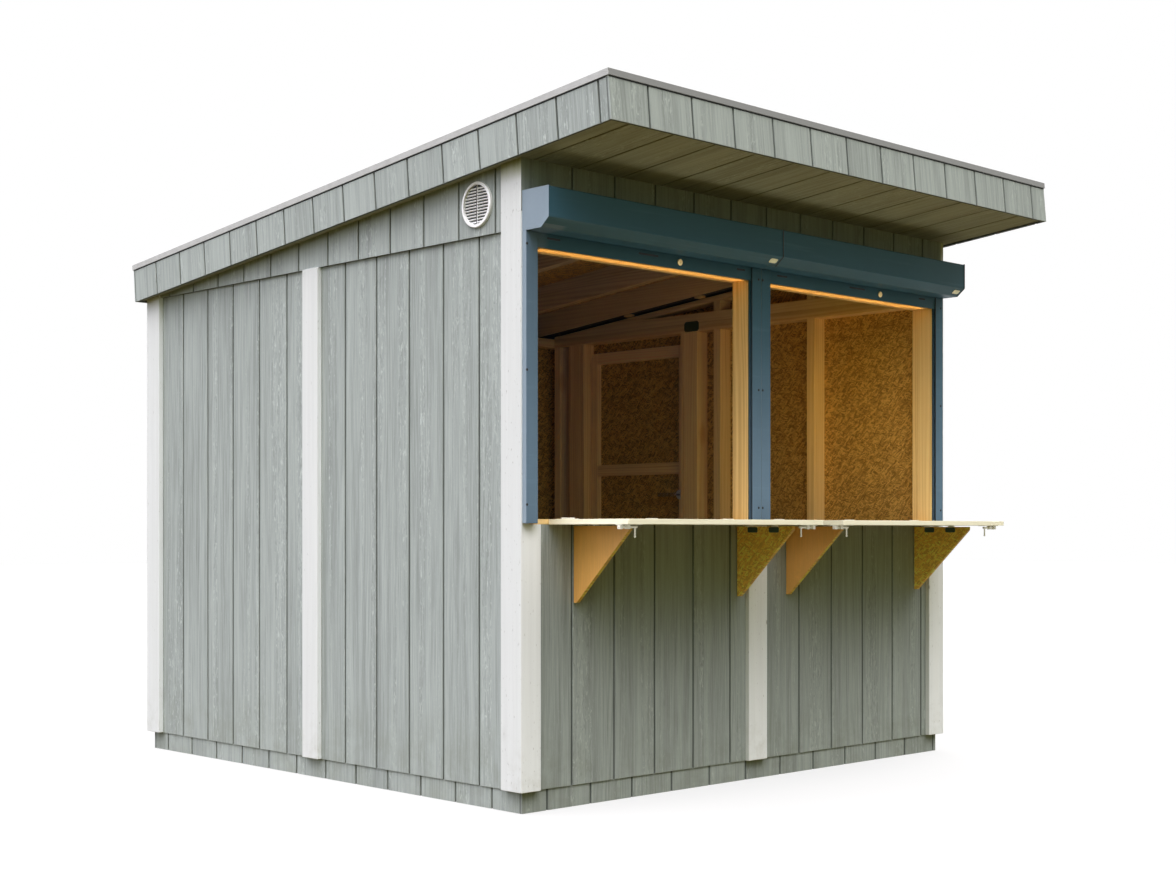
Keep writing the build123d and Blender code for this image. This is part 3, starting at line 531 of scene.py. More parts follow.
def solids(mesh):
    """Give a mesh's points, and for each point the number of the separate solid that it belongs to."""
    points = points_of(mesh)
    owner = list(range(len(points)))

    def find(item):
        while owner[item] != item:
            owner[item] = owner[owner[item]]
            item = owner[item]
        return item

    for edge in mesh.edges:
        owner[find(edge.vertices[0])] = find(edge.vertices[1])
    return points, np.array([find(item) for item in range(len(points))])


def welded(node):
    bm = bmesh.new()
    bm.from_mesh(frame["nodes"][node].data)
    bmesh.ops.remove_doubles(bm, verts=bm.verts, dist=1e-5)
    return bm


def finished(bm, name):
    mesh = bpy.data.meshes.new(name)
    bm.to_mesh(mesh)
    bm.free()
    return mesh


def islands(node):
    """Give the points of each separate solid of a node."""
    mesh = finished(welded(node), "islands")
    points, roots = solids(mesh)
    bpy.data.meshes.remove(mesh)
    found = [points[roots == root] for root in np.unique(roots)]
    return sorted(found, key=lambda part: tuple(part.mean(0).round(4)))


def write_grain(mesh, coords, tones, sunk=()):
    """Store where each corner lies along its own board, how deep in a groove, and each face's tone."""
    for name, kind, domain, key, values in (("grain", "FLOAT_VECTOR", "CORNER", "vector", coords),
                                            ("tone", "FLOAT", "FACE", "value", tones),
                                            ("sunk", "FLOAT", "CORNER", "value", sunk)):
        if len(values):
            layer = mesh.attributes.new(name, kind, domain)
            layer.data.foreach_set(key, np.asarray(values, dtype=np.float32).ravel())


def publish(name, mesh, node, *kinds):
    """Put a finished mesh in the scene in the named looks, riding on its node's body."""
    piece = bpy.data.objects.new(name, mesh)
    bpy.context.scene.collection.objects.link(piece)
    indices = [face.material_index for face in mesh.polygons]
    mesh.materials.clear()
    for kind in kinds:
        mesh.materials.append(looks()[kind])
    mesh.polygons.foreach_set("material_index", indices)
    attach(piece, BODY_OF[node])
    return piece


def stand_in(name, mesh, node, *kinds):
    """Publish a mesh that stands for its node."""
    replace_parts(publish(name, mesh, node, *kinds), node)


def open_group(name, inputs):
    """Start a Geometry Nodes tree, and give it with the values of its named inputs."""
    group = bpy.data.node_groups.new(name, "GeometryNodeTree")
    for key, kind in {"Geometry": "Geometry", **inputs, "Material": "Material"}.items():
        group.interface.new_socket(key, in_out="INPUT", socket_type="NodeSocket" + kind)
    group.interface.new_socket("Geometry", in_out="OUTPUT", socket_type="NodeSocketGeometry")
    tree = Tree(group)
    source = tree.node("NodeGroupInput").socket.node
    return tree, {socket.name: Value(group, socket) for socket in source.outputs}


def close_group(tree, geometry, material):
    """End a Geometry Nodes tree with real geometry in its material."""
    real = tree.node("GeometryNodeRealizeInstances", None, {0: geometry})
    done = tree.node("GeometryNodeSetMaterial", None, {"Geometry": real, "Material": material})
    connect(tree.tree, tree.node("NodeGroupOutput").inputs[0], done)
    return tree.tree


def sheet_tree():
    """A node tree that makes one sheet with straight grooves across its face."""
    name = "Grooved sheet"
    if name in bpy.data.node_groups:
        return bpy.data.node_groups[name]
    tree, given = open_group(name, {
        "Length": "Float", "Height": "Float", "Thickness": "Float", "Slope": "Float", "Grooves": "Int",
        "First Groove": "Float", "Pitch": "Float", "Groove Width": "Float", "Groove Depth": "Float"})
    count = given["Grooves"] * 4.0
    index = tree.node("GeometryNodeInputIndex")
    step = index - 1.0
    number = step.math("FLOOR", step / 4.0)
    corner = step - number * 4.0
    in_groove = (index > 0.5) * (index < count + 0.5)
    offset = (corner > 0.5) * 0.12 + (corner > 1.5) * 0.76 + (corner > 2.5) * 0.12 - 0.5
    groove_x = given["First Groove"] + number * given["Pitch"] + offset * given["Groove Width"]
    at_end = (index > count + 0.5) * (index < count + 2.5)
    x = in_groove * groove_x + at_end * given["Length"]
    sunk = (corner > 0.5) * (corner < 2.5) * in_groove
    y = sunk * given["Groove Depth"] + (index > count + 1.5) * given["Thickness"]
    points = tree.node("GeometryNodePoints", None, {"Count": count + 4.0, "Position": tree.vector(x, y)})
    curve = tree.node("GeometryNodePointsToCurves", None, {0: points})
    ring = tree.node("GeometryNodeSetSplineCyclic", None, {"Geometry": curve, "Cyclic": True})
    base = tree.node("GeometryNodeFillCurve", {"mode": "NGONS"}, {0: ring})
    raised = tree.node("GeometryNodeExtrudeMesh", {"mode": "FACES"}, {
        "Mesh": base, "Offset": (0, 0, 1), "Offset Scale": given["Height"], "Individual": False})
    joined = tree.join(raised, tree.node("GeometryNodeFlipFaces", None, {"Mesh": base}))
    merged = tree.node("GeometryNodeMergeByDistance", None, {"Geometry": joined, "Distance": 1e-5})
    place_x, _, place_z = tree.parts(tree.node("GeometryNodeInputPosition"))
    sloped = tree.node("GeometryNodeSetPosition", None, {
        "Geometry": merged, "Selection": place_z > given["Height"] * 0.5,
        "Offset": tree.vector(z=place_x * given["Slope"])})
    return close_group(tree, sloped, given["Material"])


def screw_tree():
    """A node tree that puts a domed screw head with a socket on each point."""
    name = "Screw heads"
    if name in bpy.data.node_groups:
        return bpy.data.node_groups[name]
    tree, given = open_group(name, {"Radius": "Float", "Rise": "Float", "Turn": "Vector"})
    radius, rise = given["Radius"], given["Rise"]
    head = tree.node("GeometryNodeMeshUVSphere", None, {"Segments": 12, "Rings": 6, "Radius": radius})
    flat = tree.node("GeometryNodeTransform", None, {"Geometry": head, "Scale": tree.vector(1.0, 1.0, rise)})
    cup = tree.node("GeometryNodeMeshCylinder", None, {
        "Vertices": 6, "Radius": radius * 0.45, "Depth": radius * rise * 2.1})
    placed = tree.node("GeometryNodeInstanceOnPoints", None, {
        "Points": given["Geometry"], "Instance": tree.join(flat, cup),
        "Rotation": tree.node("FunctionNodeEulerToRotation", None, {0: given["Turn"]})})
    return close_group(tree, placed, given["Material"])


def run_tree(group, values, start=None):
    """Evaluate a node tree on a bare object and give its mesh."""
    holder = bpy.data.objects.new("maker", start or bpy.data.meshes.new("maker"))
    bpy.context.scene.collection.objects.link(holder)
    modifier = holder.modifiers.new("maker", "NODES")
    modifier.node_group = group
    keys = {item.name: item.identifier for item in group.interface.items_tree if item.in_out == "INPUT"}
    for name, value in values.items():
        modifier[keys[name]] = value
    graph = bpy.context.evaluated_depsgraph_get()
    mesh = bpy.data.meshes.new_from_object(holder.evaluated_get(graph))
    holder.modifiers.remove(modifier)
    bpy.data.objects.remove(holder)
    return mesh


def screws(points, radius, turn, kind):
    """Give the mesh of screw heads at points, turned to stand off their face."""
    start = bpy.data.meshes.new("points")
    start.from_pydata(points, [], [])
    return run_tree(screw_tree(), {
        "Radius": radius, "Rise": SCREW_RISE, "Turn": turn, "Material": looks()[kind]}, start)


def grooved(name, basis, low, high, outward, run, phase, back=False, slope=0.0, height=None, skip=0):
    """Give the mesh of a grooved sheet that fills a box, with its boards along run and its face outward."""
    sizes = bpy.context.scene.hut_sizes
    pitch, wide = sizes.board_pitch, sizes.groove_width
    deep = -outward
    across = deep.cross(run)
    total = across + deep + run
    origin = Vector([low[i] if total[i] > 0 else high[i] for i in range(3)])
    length, thick, tall = (abs(axis.dot(high - low)) for axis in (across, deep, run))
    first = (sum(across) * phase - across.dot(origin)) % pitch
    first += pitch * (skip + (1 if first < wide else 0))
    count = int((length - wide - first) / pitch) + 1 if length - wide > first else 0
    mesh = run_tree(sheet_tree(), {
        "Length": length, "Height": height or tall, "Thickness": thick, "Slope": slope, "Grooves": count,
        "First Groove": first, "Pitch": pitch, "Groove Width": wide,
        "Groove Depth": min(sizes.groove_depth, thick * 0.6), "Material": looks()["siding"]})
    chance = random.Random(seed_of(name))
    boards = [([chance.uniform(0, 40) for _ in range(3)], chance.uniform(-1, 1)) for _ in range(count + 2)]
    coords, tones, inner, sunk = [], [], [], []
    for face in mesh.polygons:
        hidden = back and face.normal.y > 0.9
        board = 0 if hidden else min(count, max(0, int((face.center.x - first) // pitch) + 1))
        shift, tone = boards[board]
        tones.append(tone)
        inner.append(1 if hidden else 0)
        for corner in face.vertices:
            spot = mesh.vertices[corner].co
            coords.append([part + move for part, move in zip(spot, shift)])
            sunk.append(min(1.0, spot.y / sizes.groove_depth))
    write_grain(mesh, coords, tones, sunk)
    mesh.polygons.foreach_set("material_index", inner)
    turn = basis @ Matrix((across, deep, run)).transposed()
    mesh.transform(Matrix.Translation(basis @ origin) @ turn.to_4x4())
    return mesh


def outward_of(low, high, phases):
    """Give the outward direction and groove phase of a board along the front or rear, or along a side."""
    if high.x - low.x > high.y - low.y:
        return (-BACK if high.y < 0 else BACK), phases[0]
    return (-RIGHT if high.x < 0 else RIGHT), phases[1]


def merged_mesh(meshes):
    """Join meshes that carry the same attributes."""
    if len(meshes) == 1:
        return meshes[0]
    holders = [bpy.data.objects.new("join", mesh) for mesh in meshes]
    for holder in holders:
        bpy.context.scene.collection.objects.link(holder)
    with bpy.context.temp_override(active_object=holders[0], selected_editable_objects=holders):
        bpy.ops.object.join()
    mesh = holders[0].data
    bpy.data.objects.remove(holders[0])
    return mesh


def softened(node, bevel, segments=2, run=None):
    """Give a node's mesh with eased edges, and each solid's grain along its longest side or an axis."""
    bm = welded(node)
    bmesh.ops.dissolve_limit(bm, angle_limit=math.radians(1), verts=bm.verts, edges=bm.edges)
    sharp = [edge for edge in bm.edges
             if len(edge.link_faces) == 2 and edge.calc_face_angle() > math.radians(35)]
    if bevel:
        bmesh.ops.bevel(bm, geom=sharp, offset=bevel, offset_type="OFFSET", segments=segments, profile=0.5,
                        affect="EDGES", clamp_overlap=True)
    mesh = finished(bm, node)
    points, roots = solids(mesh)
    chance = random.Random(seed_of(node))
    facts = {}
    for root in sorted(dict.fromkeys(roots), key=lambda item: tuple(points[roots == item].mean(0).round(3))):
        size = np.ptp(points[roots == root], axis=0)
        long_axis = int(np.argmax(size)) if run is None else run
        others = sorted((axis for axis in range(3) if axis != long_axis), key=lambda axis: -size[axis])
        shift = np.array([chance.uniform(0, 40) for _ in range(3)])
        facts[root] = (others + [long_axis], shift, chance.uniform(-1, 1))
    coords, tones = [], []
    for face in mesh.polygons:
        order, shift, tone = facts[roots[face.vertices[0]]]
        tones.append(tone)
        coords += [points[corner][order] + shift for corner in face.vertices]
    write_grain(mesh, coords, tones)
    return mesh


def loft(rows):
    """Give a mesh through rows of points, closed round each row and over both ends."""
    bm = bmesh.new()
    rings = [[bm.verts.new(point) for point in row] for row in rows]
    size = len(rows[0])
    for first, second in zip(rings, rings[1:]):
        for index in range(size):
            after = (index + 1) % size
            bm.faces.new((first[index], first[after], second[after], second[index]))
    bm.faces.new(rings[0][::-1])
    bm.faces.new(rings[-1])
    bmesh.ops.recalc_face_normals(bm, faces=bm.faces)
    return finished(bm, "loft")


def disc(centre, axis, rows, sides=20):
    """Give a turned mesh: rows of (radius, height) along an axis from a centre."""
    side = axis.orthogonal().normalized()
    other = axis.cross(side)
    angles = [2 * math.pi * index / sides for index in range(sides)]
    return loft([[centre + axis * rise + (side * math.cos(angle) + other * math.sin(angle)) * radius
                  for angle in angles] for radius, rise in rows])


def plate(middle, along, upward, length, width, thickness):
    """Give a thin plate with clipped corners, standing off a face by its thickness."""
    outward = along.cross(upward)
    clip = min(length, width) * 0.2
    outline = []
    for x, y in ((1, 1), (-1, 1), (-1, -1), (1, -1)):
        corner = (x * length / 2, y * width / 2)
        first = (corner[0], corner[1] - y * clip)
        second = (corner[0] - x * clip, corner[1])
        outline += [first, second] if x * y > 0 else [second, first]
    return loft([[middle + along * (x * share) + upward * (y * share) + outward * rise for x, y in outline]
                 for rise, share in ((0.0, 1.0), (thickness * 0.7, 1.0), (thickness, 0.96))])


def marked(mesh, test, index=1):
    """Give another material to the faces that pass a test."""
    for face in mesh.polygons:
        if test(face):
            face.material_index = index


# Settings

def size(name, words, default):
    return FloatProperty(name=name, description=words, default=default, unit="LENGTH", subtype="DISTANCE")


def colour(name, words, default):
    return FloatVectorProperty(name=name, description=words, default=default, subtype="COLOR", min=0, max=1)


class HutSizes(bpy.types.PropertyGroup):
    """Sizes of the visible surface forms."""

    board_pitch: size("Board pitch", "Distance between siding grooves", 0.2032)
    groove_width: size("Groove width", "Width of a siding groove", 0.0105)
    groove_depth: size("Groove depth", "Depth of a siding groove", 0.006)
    timber_ease: size("Timber edge", "Rounding of timber edges", 0.002)
    metal_ease: size("Metal edge", "Rounding of folded metal edges", 0.0015)


class HutColours(bpy.types.PropertyGroup):
    """Colours of the finishes."""

    siding: colour("Siding", "Sage paint of the siding", (0.381, 0.423, 0.402))
    # The lining colour is the sage paint with a warm yellow tint painted in as bounce light from the ground
    lining: colour("Lining", "Weathered paint of the soffits", (0.404, 0.402, 0.29))
    trim: colour("Trim", "Whitewash of posts and strips", (0.91, 0.94, 0.955))
    timber: colour("Timber", "Softwood framing", (0.95, 0.66, 0.285))
    strand: colour("Strand board", "Inside faces of the siding", (0.56, 0.32, 0.077))
    gusset: colour("Bracket back", "Strand board side of the brackets", (1.0, 0.60, 0.115))
    counter: colour("Counter", "Pale plywood", (0.92, 0.90, 0.71))
    bracket: colour("Bracket", "Brown faced board", (0.81, 0.435, 0.118))
    shutter: colour("Shutter", "Powder coat of the shutters", (0.13, 0.203, 0.286))
    edging: colour("Edging", "Metal roof edge", (0.44, 0.447, 0.437))
    fittings: colour("Fittings", "Plated steel fittings", (0.93, 0.90, 0.76))
    chrome: colour("Chrome", "Polished lever", (0.5, 0.5, 0.48))
    brass: colour("Brass", "Locks of the shutters", (0.75, 0.55, 0.24))
    plate: colour("Plate", "Bare plates on the shutter boxes", (0.97, 0.90, 0.62))
    hinge: colour("Hinge", "Painted hinge leaves", (0.035, 0.06, 0.03))
    vent: colour("Vent", "Moulded vent", (0.90, 0.91, 0.91))
    # One dark finish serves real seals and screws, and the dark plates that are painted shade
    seal_and_shade_colour: colour("Seal", "Dark seals", (0.02, 0.022, 0.024))
    roof: colour("Roof", "Roof sheet", (0.045, 0.046, 0.05))


# Operators

class HUT_OT_siding(bpy.types.Operator):
    """Build the grooved siding, the plinth and the door's outer face"""

    bl_idname = "hut.siding"
    bl_label = "Siding"

    def execute(self, context):
        for node, outward, phase, skip in (
                ("siding_left_lower", -RIGHT, GROOVE_SIDE, 0), ("siding_right_front", RIGHT, GROOVE_SIDE, 0),
                ("siding_right_rear", RIGHT, GROOVE_SIDE, 0), ("siding_over_door", RIGHT, GROOVE_SIDE, 0),
                ("siding_front_apron", -BACK, GROOVE_FRONT, 0),
                ("siding_front_upper", -BACK, GROOVE_OVER_BOX, 1),
                ("siding_rear", BACK, GROOVE_FRONT, 0), ("door_skin", RIGHT, GROOVE_SIDE, 0)):
            mesh = grooved(node, LEVEL, *corners(node), outward, UP, phase, back=True, skip=skip)
            if node == "siding_front_upper":
                marked(mesh, lambda face: face.normal.x < -0.9 and face.center.x < WALL_LEFT, 2)
            stand_in("face_" + node, mesh, node, "siding", "strand", "white")
        for node, outward, slope in (("siding_left_upper", -RIGHT, 1), ("siding_right_upper", RIGHT, -1)):
            low, high = corners(node)
            points = points_of(frame["nodes"][node].data)
            end = high.y if slope > 0 else low.y
            height = points[abs(points[:, 1] - end) < 1e-3][:, 2].max() - low.z
            mesh = grooved(node, LEVEL, low, high, outward, UP, GROOVE_UPPER, back=True,
                           slope=slope * math.tan(PITCH), height=height)
            stand_in("face_" + node, mesh, node, "siding", "strand")
        strips = []
        for points in islands("plinth"):
            low, high = box_in(points, LEVEL)
            outward, phase = outward_of(low, high, GROOVE_PLINTH)
            strips.append(grooved("plinth%.2f%.2f" % (low.x, low.y), LEVEL, low, high, outward, UP, phase))
        stand_in("plinth_strips", merged_mesh(strips), "plinth", "siding")
        return {"FINISHED"}


class HUT_OT_roof(bpy.types.Operator):
    """Build the fascia boards, soffits, roof sheet and metal edge, with painted shadow and shade at the
    fascia
    """

    bl_idname = "hut.roof"
    bl_label = "Roof"

    def execute(self, context):
        boards, lines = [], []
        # Painted shadow: a thin dark plate along each fascia board under the metal edge stands for the
        # shadow under its drip
        drip = box_in(points_of(frame["nodes"]["roof_trim"].data), SLOPED)[0].z - DARK_LINE_WIDTH / 2
        for points in islands("fascia_boards"):
            low, high = box_in(points, SLOPED)
            outward, phase = outward_of(low, high, GROOVE_FASCIA)
            boards.append(grooved("fascia%.2f%.2f" % (low.x, low.y), SLOPED, low, high, outward, UP, phase))
            along = UP.cross(outward)
            middle = (low + high) / 2 + outward * abs(outward.dot(high - low)) / 2
            middle.z = drip
            lines.append(plate(middle, along, UP, abs(along.dot(high - low)), DARK_LINE_WIDTH, THIN))
        mesh = merged_mesh(boards)
        # Painted shade: the fascia's undersides on the right are dark
        marked(mesh, lambda face: face.normal.z < -0.8 and face.center.x > FASCIA_RIGHT)
        stand_in("fascia", mesh, "fascia_boards", "siding", "rubber")
        mesh = merged_mesh(lines)
        mesh.transform(SLOPED.to_4x4())
        publish("drip_shadow_line", mesh, "fascia_boards", "rubber")
        for node in ("front_soffit", "eave_soffits"):
            boards = []
            for points in islands(node):
                low, high = box_in(points, SLOPED)
                boards.append(grooved(node + "%.2f" % low.x, SLOPED, low, high, -UP, BACK, GROOVE_SOFFIT))
            stand_in("lining_" + node, merged_mesh(boards), node, "lining")
        for node, ease, kind in (("roof_covering", SHEET_EASE, "roof"), ("roof_trim", THIN_EASE, "edge")):
            stand_in("top_" + node, softened(node, ease), node, kind)
        return {"FINISHED"}


class HUT_OT_trim(bpy.types.Operator):
    """Build the whitewashed corner posts and cover strips"""

    bl_idname = "hut.trim"
    bl_label = "Posts and strips"

    def execute(self, context):
        ease = context.scene.hut_sizes.timber_ease
        for node in ("corner_posts", "cover_strips"):
            stand_in("white_" + node, softened(node, ease, 3, run=2), node, "white")
        return {"FINISHED"}


class HUT_OT_timber(bpy.types.Operator):
    """Build the timber frame, rafters, floor and door frame"""

    bl_idname = "hut.timber"
    bl_label = "Timber frame"

    def execute(self, context):
        for node in ("bottom_plates", "top_plates", "gable_plates", "sloping_plates", "wall_studs",
                     "front_posts", "front_sill", "front_lintel", "rafters", "floor_bearers", "door_ledges",
                     "door_lining"):
            mesh = softened(node, context.scene.hut_sizes.timber_ease)
            if node == "rafters":
                # Painted shade: the rightmost rafter's underside is dark, standing for the shaded gap above
                # the plate
                marked(mesh, lambda face: face.normal.z < -0.8 and face.center.x > RAFTER_RIGHT)
            stand_in("timber_" + node, mesh, node, "timber", "rubber")
        under = min(box_in(points, SLOPED)[0].z for points in islands("rafters"))
        mesh = merged_mesh([plate(Vector((PACKER_X, y, under)), BACK, RIGHT, *PACKER) for y in PACKERS_Y])
        mesh.transform(SLOPED.to_4x4())
        publish("rafter_packers", mesh, "rafters", "timber")
        inner = corners("top_plates")[1].x - TOP_PLATE_WIDTH
        mesh = plate(Vector((inner, *JOINING_YZ)), -BACK, UP, *JOINING)
        publish("joining_plate", mesh, "top_plates", "hinge")
        for node in ("floor_deck", "roof_deck"):
            mesh = softened(node, SHEET_EASE)
            marked(mesh, lambda face: abs(face.normal.z) < 0.5)
            stand_in("deck_" + node, mesh, node, "strand", "siding")
        return {"FINISHED"}


class HUT_OT_shutters(bpy.types.Operator):
    """Build the shutter boxes, guide rails, end slats, locks and screws"""

    bl_idname = "hut.shutters"
    bl_label = "Roller shutters"

    def execute(self, context):
        ease = context.scene.hut_sizes.metal_ease
        boxes = ("shutter_box_left", "shutter_box_right")
        for node in boxes:
            stand_in("case_" + node, softened(node, BOARD_EASE), node, "blue")
        stand_in("metal_end_slats", softened("end_slats", ease), "end_slats", "blue")
        rails = sorted((points[:, 0].min(), points[:, 0].max()) for points in islands("guide_rails"))
        open_sides = [rail[1 - index % 2] for index, rail in enumerate(rails)]
        mesh = softened("guide_rails", ease)
        marked(mesh, lambda face: abs(face.normal.x) > 0.7
               and min(abs(face.center.x - x) for x in open_sides) < RAIL_MOUTH)
        stand_in("metal_guide_rails", mesh, "guide_rails", "blue", "rubber")
        face = corners("guide_rails")[0].y
        spots = [(x, face, z) for x in SCREWS_X for z in SCREWS_Z]
        mesh = screws(spots, SCREW_RADIUS, (math.pi / 2, 0, 0), "rubber")
        publish("rail_screws", mesh, "guide_rails", "rubber")
        front = corners("end_slats")[0].y
        locks = [disc(Vector((x, front, LOCKS_Z)), -BACK, LOCK_ROWS) for x in LOCKS_X]
        publish("shutter_locks", merged_mesh(locks), "end_slats", "brass")
        # Painted shade: a thin dark plate stands for each slot's shaded opening
        slot_shades = [plate(Vector((x, front, SLOTS_Z)), RIGHT, UP, length, SLOT_HEIGHT, THIN)
                 for x, length in SLOTS]
        publish("slat_slot_shade", merged_mesh(slot_shades), "end_slats", "rubber")
        for node in boxes:
            low, high = corners(node)
            slant = -CHAMFER.normalized()
            middle = Vector((high.x - BARE_PLATE_INSET, low.y + CHAMFER.y / 2, low.z - CHAMFER.z / 2))
            publish("bare_plate_" + node, plate(middle, RIGHT, slant, *BARE_PLATE), node, "plate")
            rise = high.z - low.z + CHAMFER.z
            middle.x = high.x - DARK_LINE_WIDTH / 2
            rims = [plate(Vector((middle.x, low.y, high.z - rise / 2)), RIGHT, UP, DARK_LINE_WIDTH, rise, THIN),
                    plate(middle, RIGHT, slant, DARK_LINE_WIDTH, CHAMFER.length, THIN)]
            publish("rim_" + node, merged_mesh(rims), node, "rubber")
        return {"FINISHED"}


class HUT_OT_counter(bpy.types.Operator):
    """Build the folding counters, brackets, hinges and bolts"""

    bl_idname = "hut.counter"
    bl_label = "Counter"

    def execute(self, context):
        for side in ("left", "right"):
            node = "counter_board_" + side
            mesh = softened(node, BOARD_EASE)
            edge = mesh.attributes.new("edge", "FLOAT", "FACE")
            edge.data.foreach_set("value", [float(abs(face.normal.z) <= 0.7) for face in mesh.polygons])
            stand_in("board_" + side, mesh, node, "ply")
            node = "counter_fittings_" + side
            stand_in("plates_" + side, softened(node, THIN_EASE), node, "steel")
        for place, way in (("left_outer", 1), ("left_inner", -1), ("right_inner", 1), ("right_outer", -1)):
            node = "bracket_" + place
            mesh = softened(node, BRACKET_EASE, run=2)
            marked(mesh, lambda face: face.normal.x * way >= -0.7)
            stand_in("gusset_" + place, mesh, node, "film", "gusset")
            low, high = corners(node)
            corner = Vector((high.x if way > 0 else low.x, high.y, high.z - HINGE_DROP))
            leaves = [plate(corner - BACK * reach, BACK * way, UP, *HINGE_LEAF) for reach in HINGE_REACHES]
            publish("leaves_" + place, merged_mesh(leaves), node, "hinge")
            node = "bolt_" + place
            stand_in("rod_" + place, softened(node, 0.0), node, "steel")
        stand_in("sill_hinges", softened("counter_hinges", THIN_EASE), "counter_hinges", "steel")
        return {"FINISHED"}


class HUT_OT_details(bpy.types.Operator):
    """Build the vent and the door's hinges, plates and lever"""

    bl_idname = "hut.details"
    bl_label = "Vent and door fittings"

    def execute(self, context):
        for node, kind in (("vent_grille", "vent"), ("door_hinges", "steel"), ("door_fittings", "steel"),
                           ("door_lever", "chrome")):
            stand_in("small_" + node, softened(node, 0.0), node, kind)
        low, high = corners("vent_grille")
        back = Vector((high.x, *((low + high) / 2).yz))
        publish("vent_shade", disc(back, -RIGHT, VENT_SHADE, 40), "vent_grille", "rubber")
        # Painted shade: thin dark plates between the blades and along the rib stand for the shade in the
        # slots
        step = 2 * VENT_RADIUS / (VENT_BLADES + 1)
        slot_shades = []
        for index in range(VENT_BLADES + 1):
            height = (index + 1) * step - VENT_RADIUS - VENT_SLOT / 2
            length = math.sqrt(VENT_RADIUS ** 2 - height ** 2) - VENT_RIB - VENT_GAP
            for side in (-1, 1):
                middle = back + Vector((-SLOT_DEPTH, side * (VENT_RIB + length / 2), height))
                if length > VENT_SLOT:
                    slot_shades.append(plate(middle, -BACK, UP, length, VENT_SLOT, THIN))
        slot_shades.append(plate(back - RIGHT * RIB_DEPTH, -BACK, UP, RIB_LINE, 2 * VENT_RADIUS, THIN))
        publish("vent_slot_shade", merged_mesh(slot_shades), "vent_grille", "rubber")
        return {"FINISHED"}


def showing(tree):
    """Give 1 on rays that show the plain background: straight, mirrored or through glass."""
    path = tree.node("ShaderNodeLightPath").socket.node
    straight, mirrored, through = (Value(tree.tree, path.outputs["Is %s Ray" % kind])
                                   for kind in ("Camera", "Glossy", "Transmission"))
    return straight.math("MAXIMUM", straight, mirrored.math("MAXIMUM", mirrored, through))


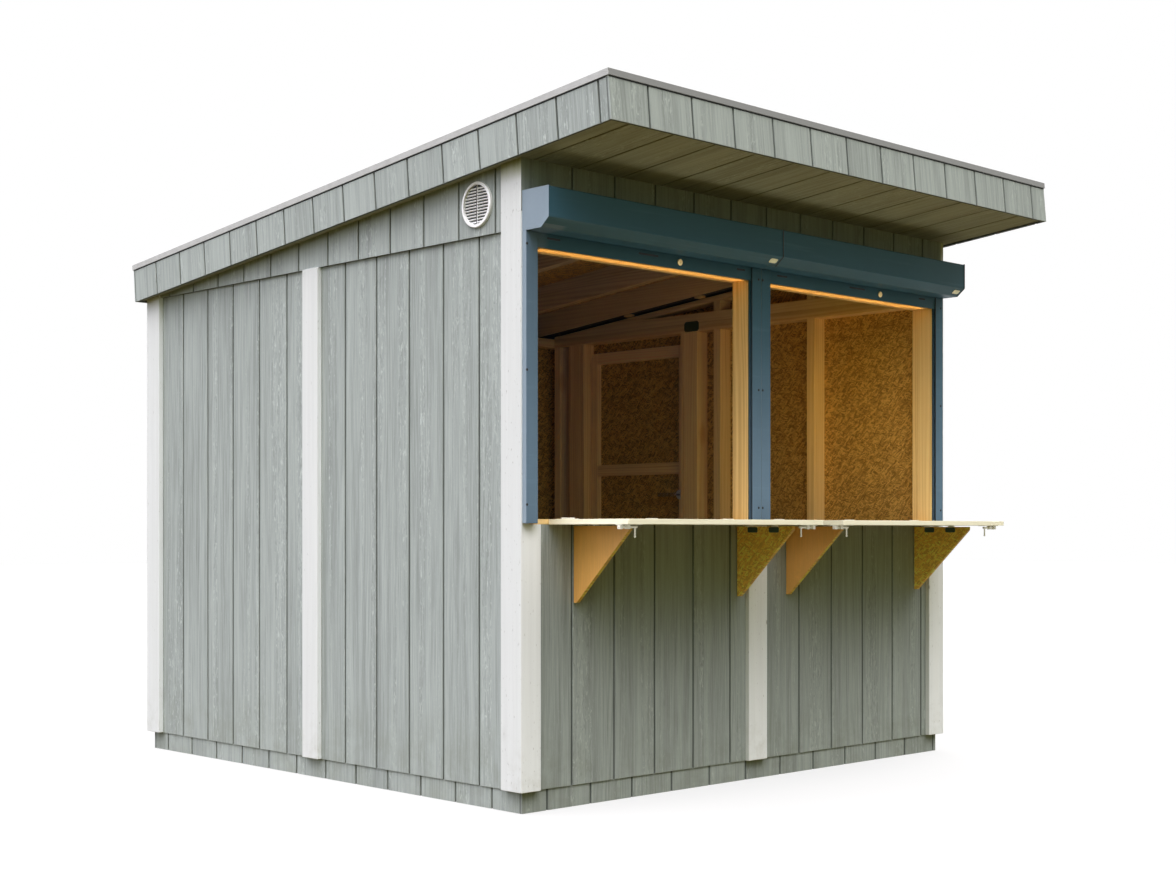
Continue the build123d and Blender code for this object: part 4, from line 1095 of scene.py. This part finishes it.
class HUT_OT_stage(bpy.types.Operator):
    """Make the floor, the light and the camera"""

    bl_idname = "hut.stage"
    bl_label = "Stage"

    def execute(self, context):
        scene = context.scene
        self.make_floor(scene)
        self.make_sky(scene)
        self.make_lamps(scene)
        self.make_camera(scene)
        scene.view_settings.view_transform = "Standard"
        return {"FINISHED"}

    def make_floor(self, scene):
        """A white floor that keeps a share of the hut's shadow, and lights the hut with a low warm glow."""
        mesh = bpy.data.meshes.new("floor")
        around = ((-1, -1), (1, -1), (1, 1), (-1, 1))
        points = [(x * FLOOR_REACH, y * FLOOR_REACH, FLOOR_DROP) for x, y in around]
        mesh.from_pydata(points, [], [(0, 1, 2, 3)])
        floor = bpy.data.objects.new("floor", mesh)
        scene.collection.objects.link(floor)
        ground = Look("floor_white", roughness=1.0, specular_ior_level=0.0, emission_strength=1.0)
        ground.set("Base Color", (0, 0, 0))
        ground.set("Emission Color", FLOOR_GLOW)
        shine = ground.node("ShaderNodeEmission", None, {"Color": (1, 1, 1), "Strength": 1.0})
        shaded = ground.node("ShaderNodeBsdfDiffuse", None, {"Color": FLOOR_GREY})
        pale = ground.node("ShaderNodeMixShader", None, {0: FLOOR_SHADOW, 1: shine, 2: shaded})
        glowing = Value(ground.tree, ground.shader.outputs[0])
        both = ground.node("ShaderNodeMixShader", None, {0: showing(ground), 1: glowing, 2: pale})
        connect(ground.tree, ground.tree.nodes["Material Output"].inputs[0], both)
        mesh.materials.append(ground.material)

    def make_sky(self, scene):
        """Soft patches of light above the horizon, behind a plain white background."""
        world = bpy.data.worlds.new("studio")
        scene.world = world
        world.use_nodes = True
        sky = Tree(world.node_tree)
        direction = sky.node("ShaderNodeTexCoord", output="Generated")
        above = sky.span(sky.parts(direction)[2], -0.02, 0.02)
        glow = (0, 0, 0)
        for axis, edge, colour in SKY_LOBES:
            toward = sky.node("ShaderNodeVectorMath", {"operation": "DOT_PRODUCT"}, {
                0: direction, 1: axis}, output="Value")
            glow = sky.blend(sky.span(toward, edge, 0.97) * above, glow, colour, "ADD")
        light = sky.node("ShaderNodeBackground", None, {"Color": glow, "Strength": 1.0})
        white = sky.node("ShaderNodeBackground", None, {"Color": (1, 1, 1), "Strength": 1.0})
        mixed = sky.node("ShaderNodeMixShader", None, {0: showing(sky), 1: light, 2: white})
        connect(sky.tree, sky.tree.nodes["World Output"].inputs[0], mixed)

    def make_lamps(self, scene):
        for name, place, toward, size, spread, colour, energy in ROOM_LIGHTS:
            lamp = bpy.data.lights.new(name, "AREA")
            lamp.shape = "RECTANGLE"
            lamp.size, lamp.size_y = size
            lamp.energy, lamp.color, lamp.spread = energy, colour, math.radians(spread)
            fill = bpy.data.objects.new(name, lamp)
            fill.location = place
            fill.rotation_euler = Vector(toward).to_track_quat("-Z", "Y").to_euler()
            fill.visible_camera = False
            scene.collection.objects.link(fill)

    def make_camera(self, scene):
        view = bpy.data.cameras.new("photo_camera")
        view.lens, view.sensor_width = CAMERA_LENS, CAMERA_SENSOR
        view.shift_x, view.shift_y = CAMERA_SHIFT
        view.dof.use_dof = False
        camera = bpy.data.objects.new("photo_camera", view)
        camera.location = CAMERA_PLACE
        camera.rotation_euler = (math.pi / 2, 0, -CAMERA_HEADING)
        scene.collection.objects.link(camera)
        scene.camera = camera


class HUT_PT_panel(bpy.types.Panel):
    """Lists the settings and the steps that build the hut"""

    bl_label = "Market hut"
    bl_idname = "HUT_PT_panel"
    bl_space_type = "VIEW_3D"
    bl_region_type = "UI"
    bl_category = "Hut"

    def draw(self, context):
        for settings in (context.scene.hut_sizes, context.scene.hut_colours):
            for key in settings.bl_rna.properties.keys():
                if key not in ("rna_type", "name"):
                    self.layout.prop(settings, key)
        for step in STEPS:
            self.layout.operator(step.bl_idname)


STEPS = (HUT_OT_siding, HUT_OT_roof, HUT_OT_trim, HUT_OT_timber, HUT_OT_shutters, HUT_OT_counter,
         HUT_OT_details, HUT_OT_stage)
CLASSES = (HutSizes, HutColours) + STEPS + (HUT_PT_panel,)


def register():
    for item in CLASSES:
        bpy.utils.register_class(item)
    bpy.types.Scene.hut_sizes = PointerProperty(type=HutSizes)
    bpy.types.Scene.hut_colours = PointerProperty(type=HutColours)


def unregister():
    del bpy.types.Scene.hut_colours
    del bpy.types.Scene.hut_sizes
    for item in reversed(CLASSES):
        bpy.utils.unregister_class(item)


def main():
    register()
    for step in STEPS:
        group, name = step.bl_idname.split(".")
        getattr(getattr(bpy.ops, group), name)()


if __name__ == "__main__":
    main()
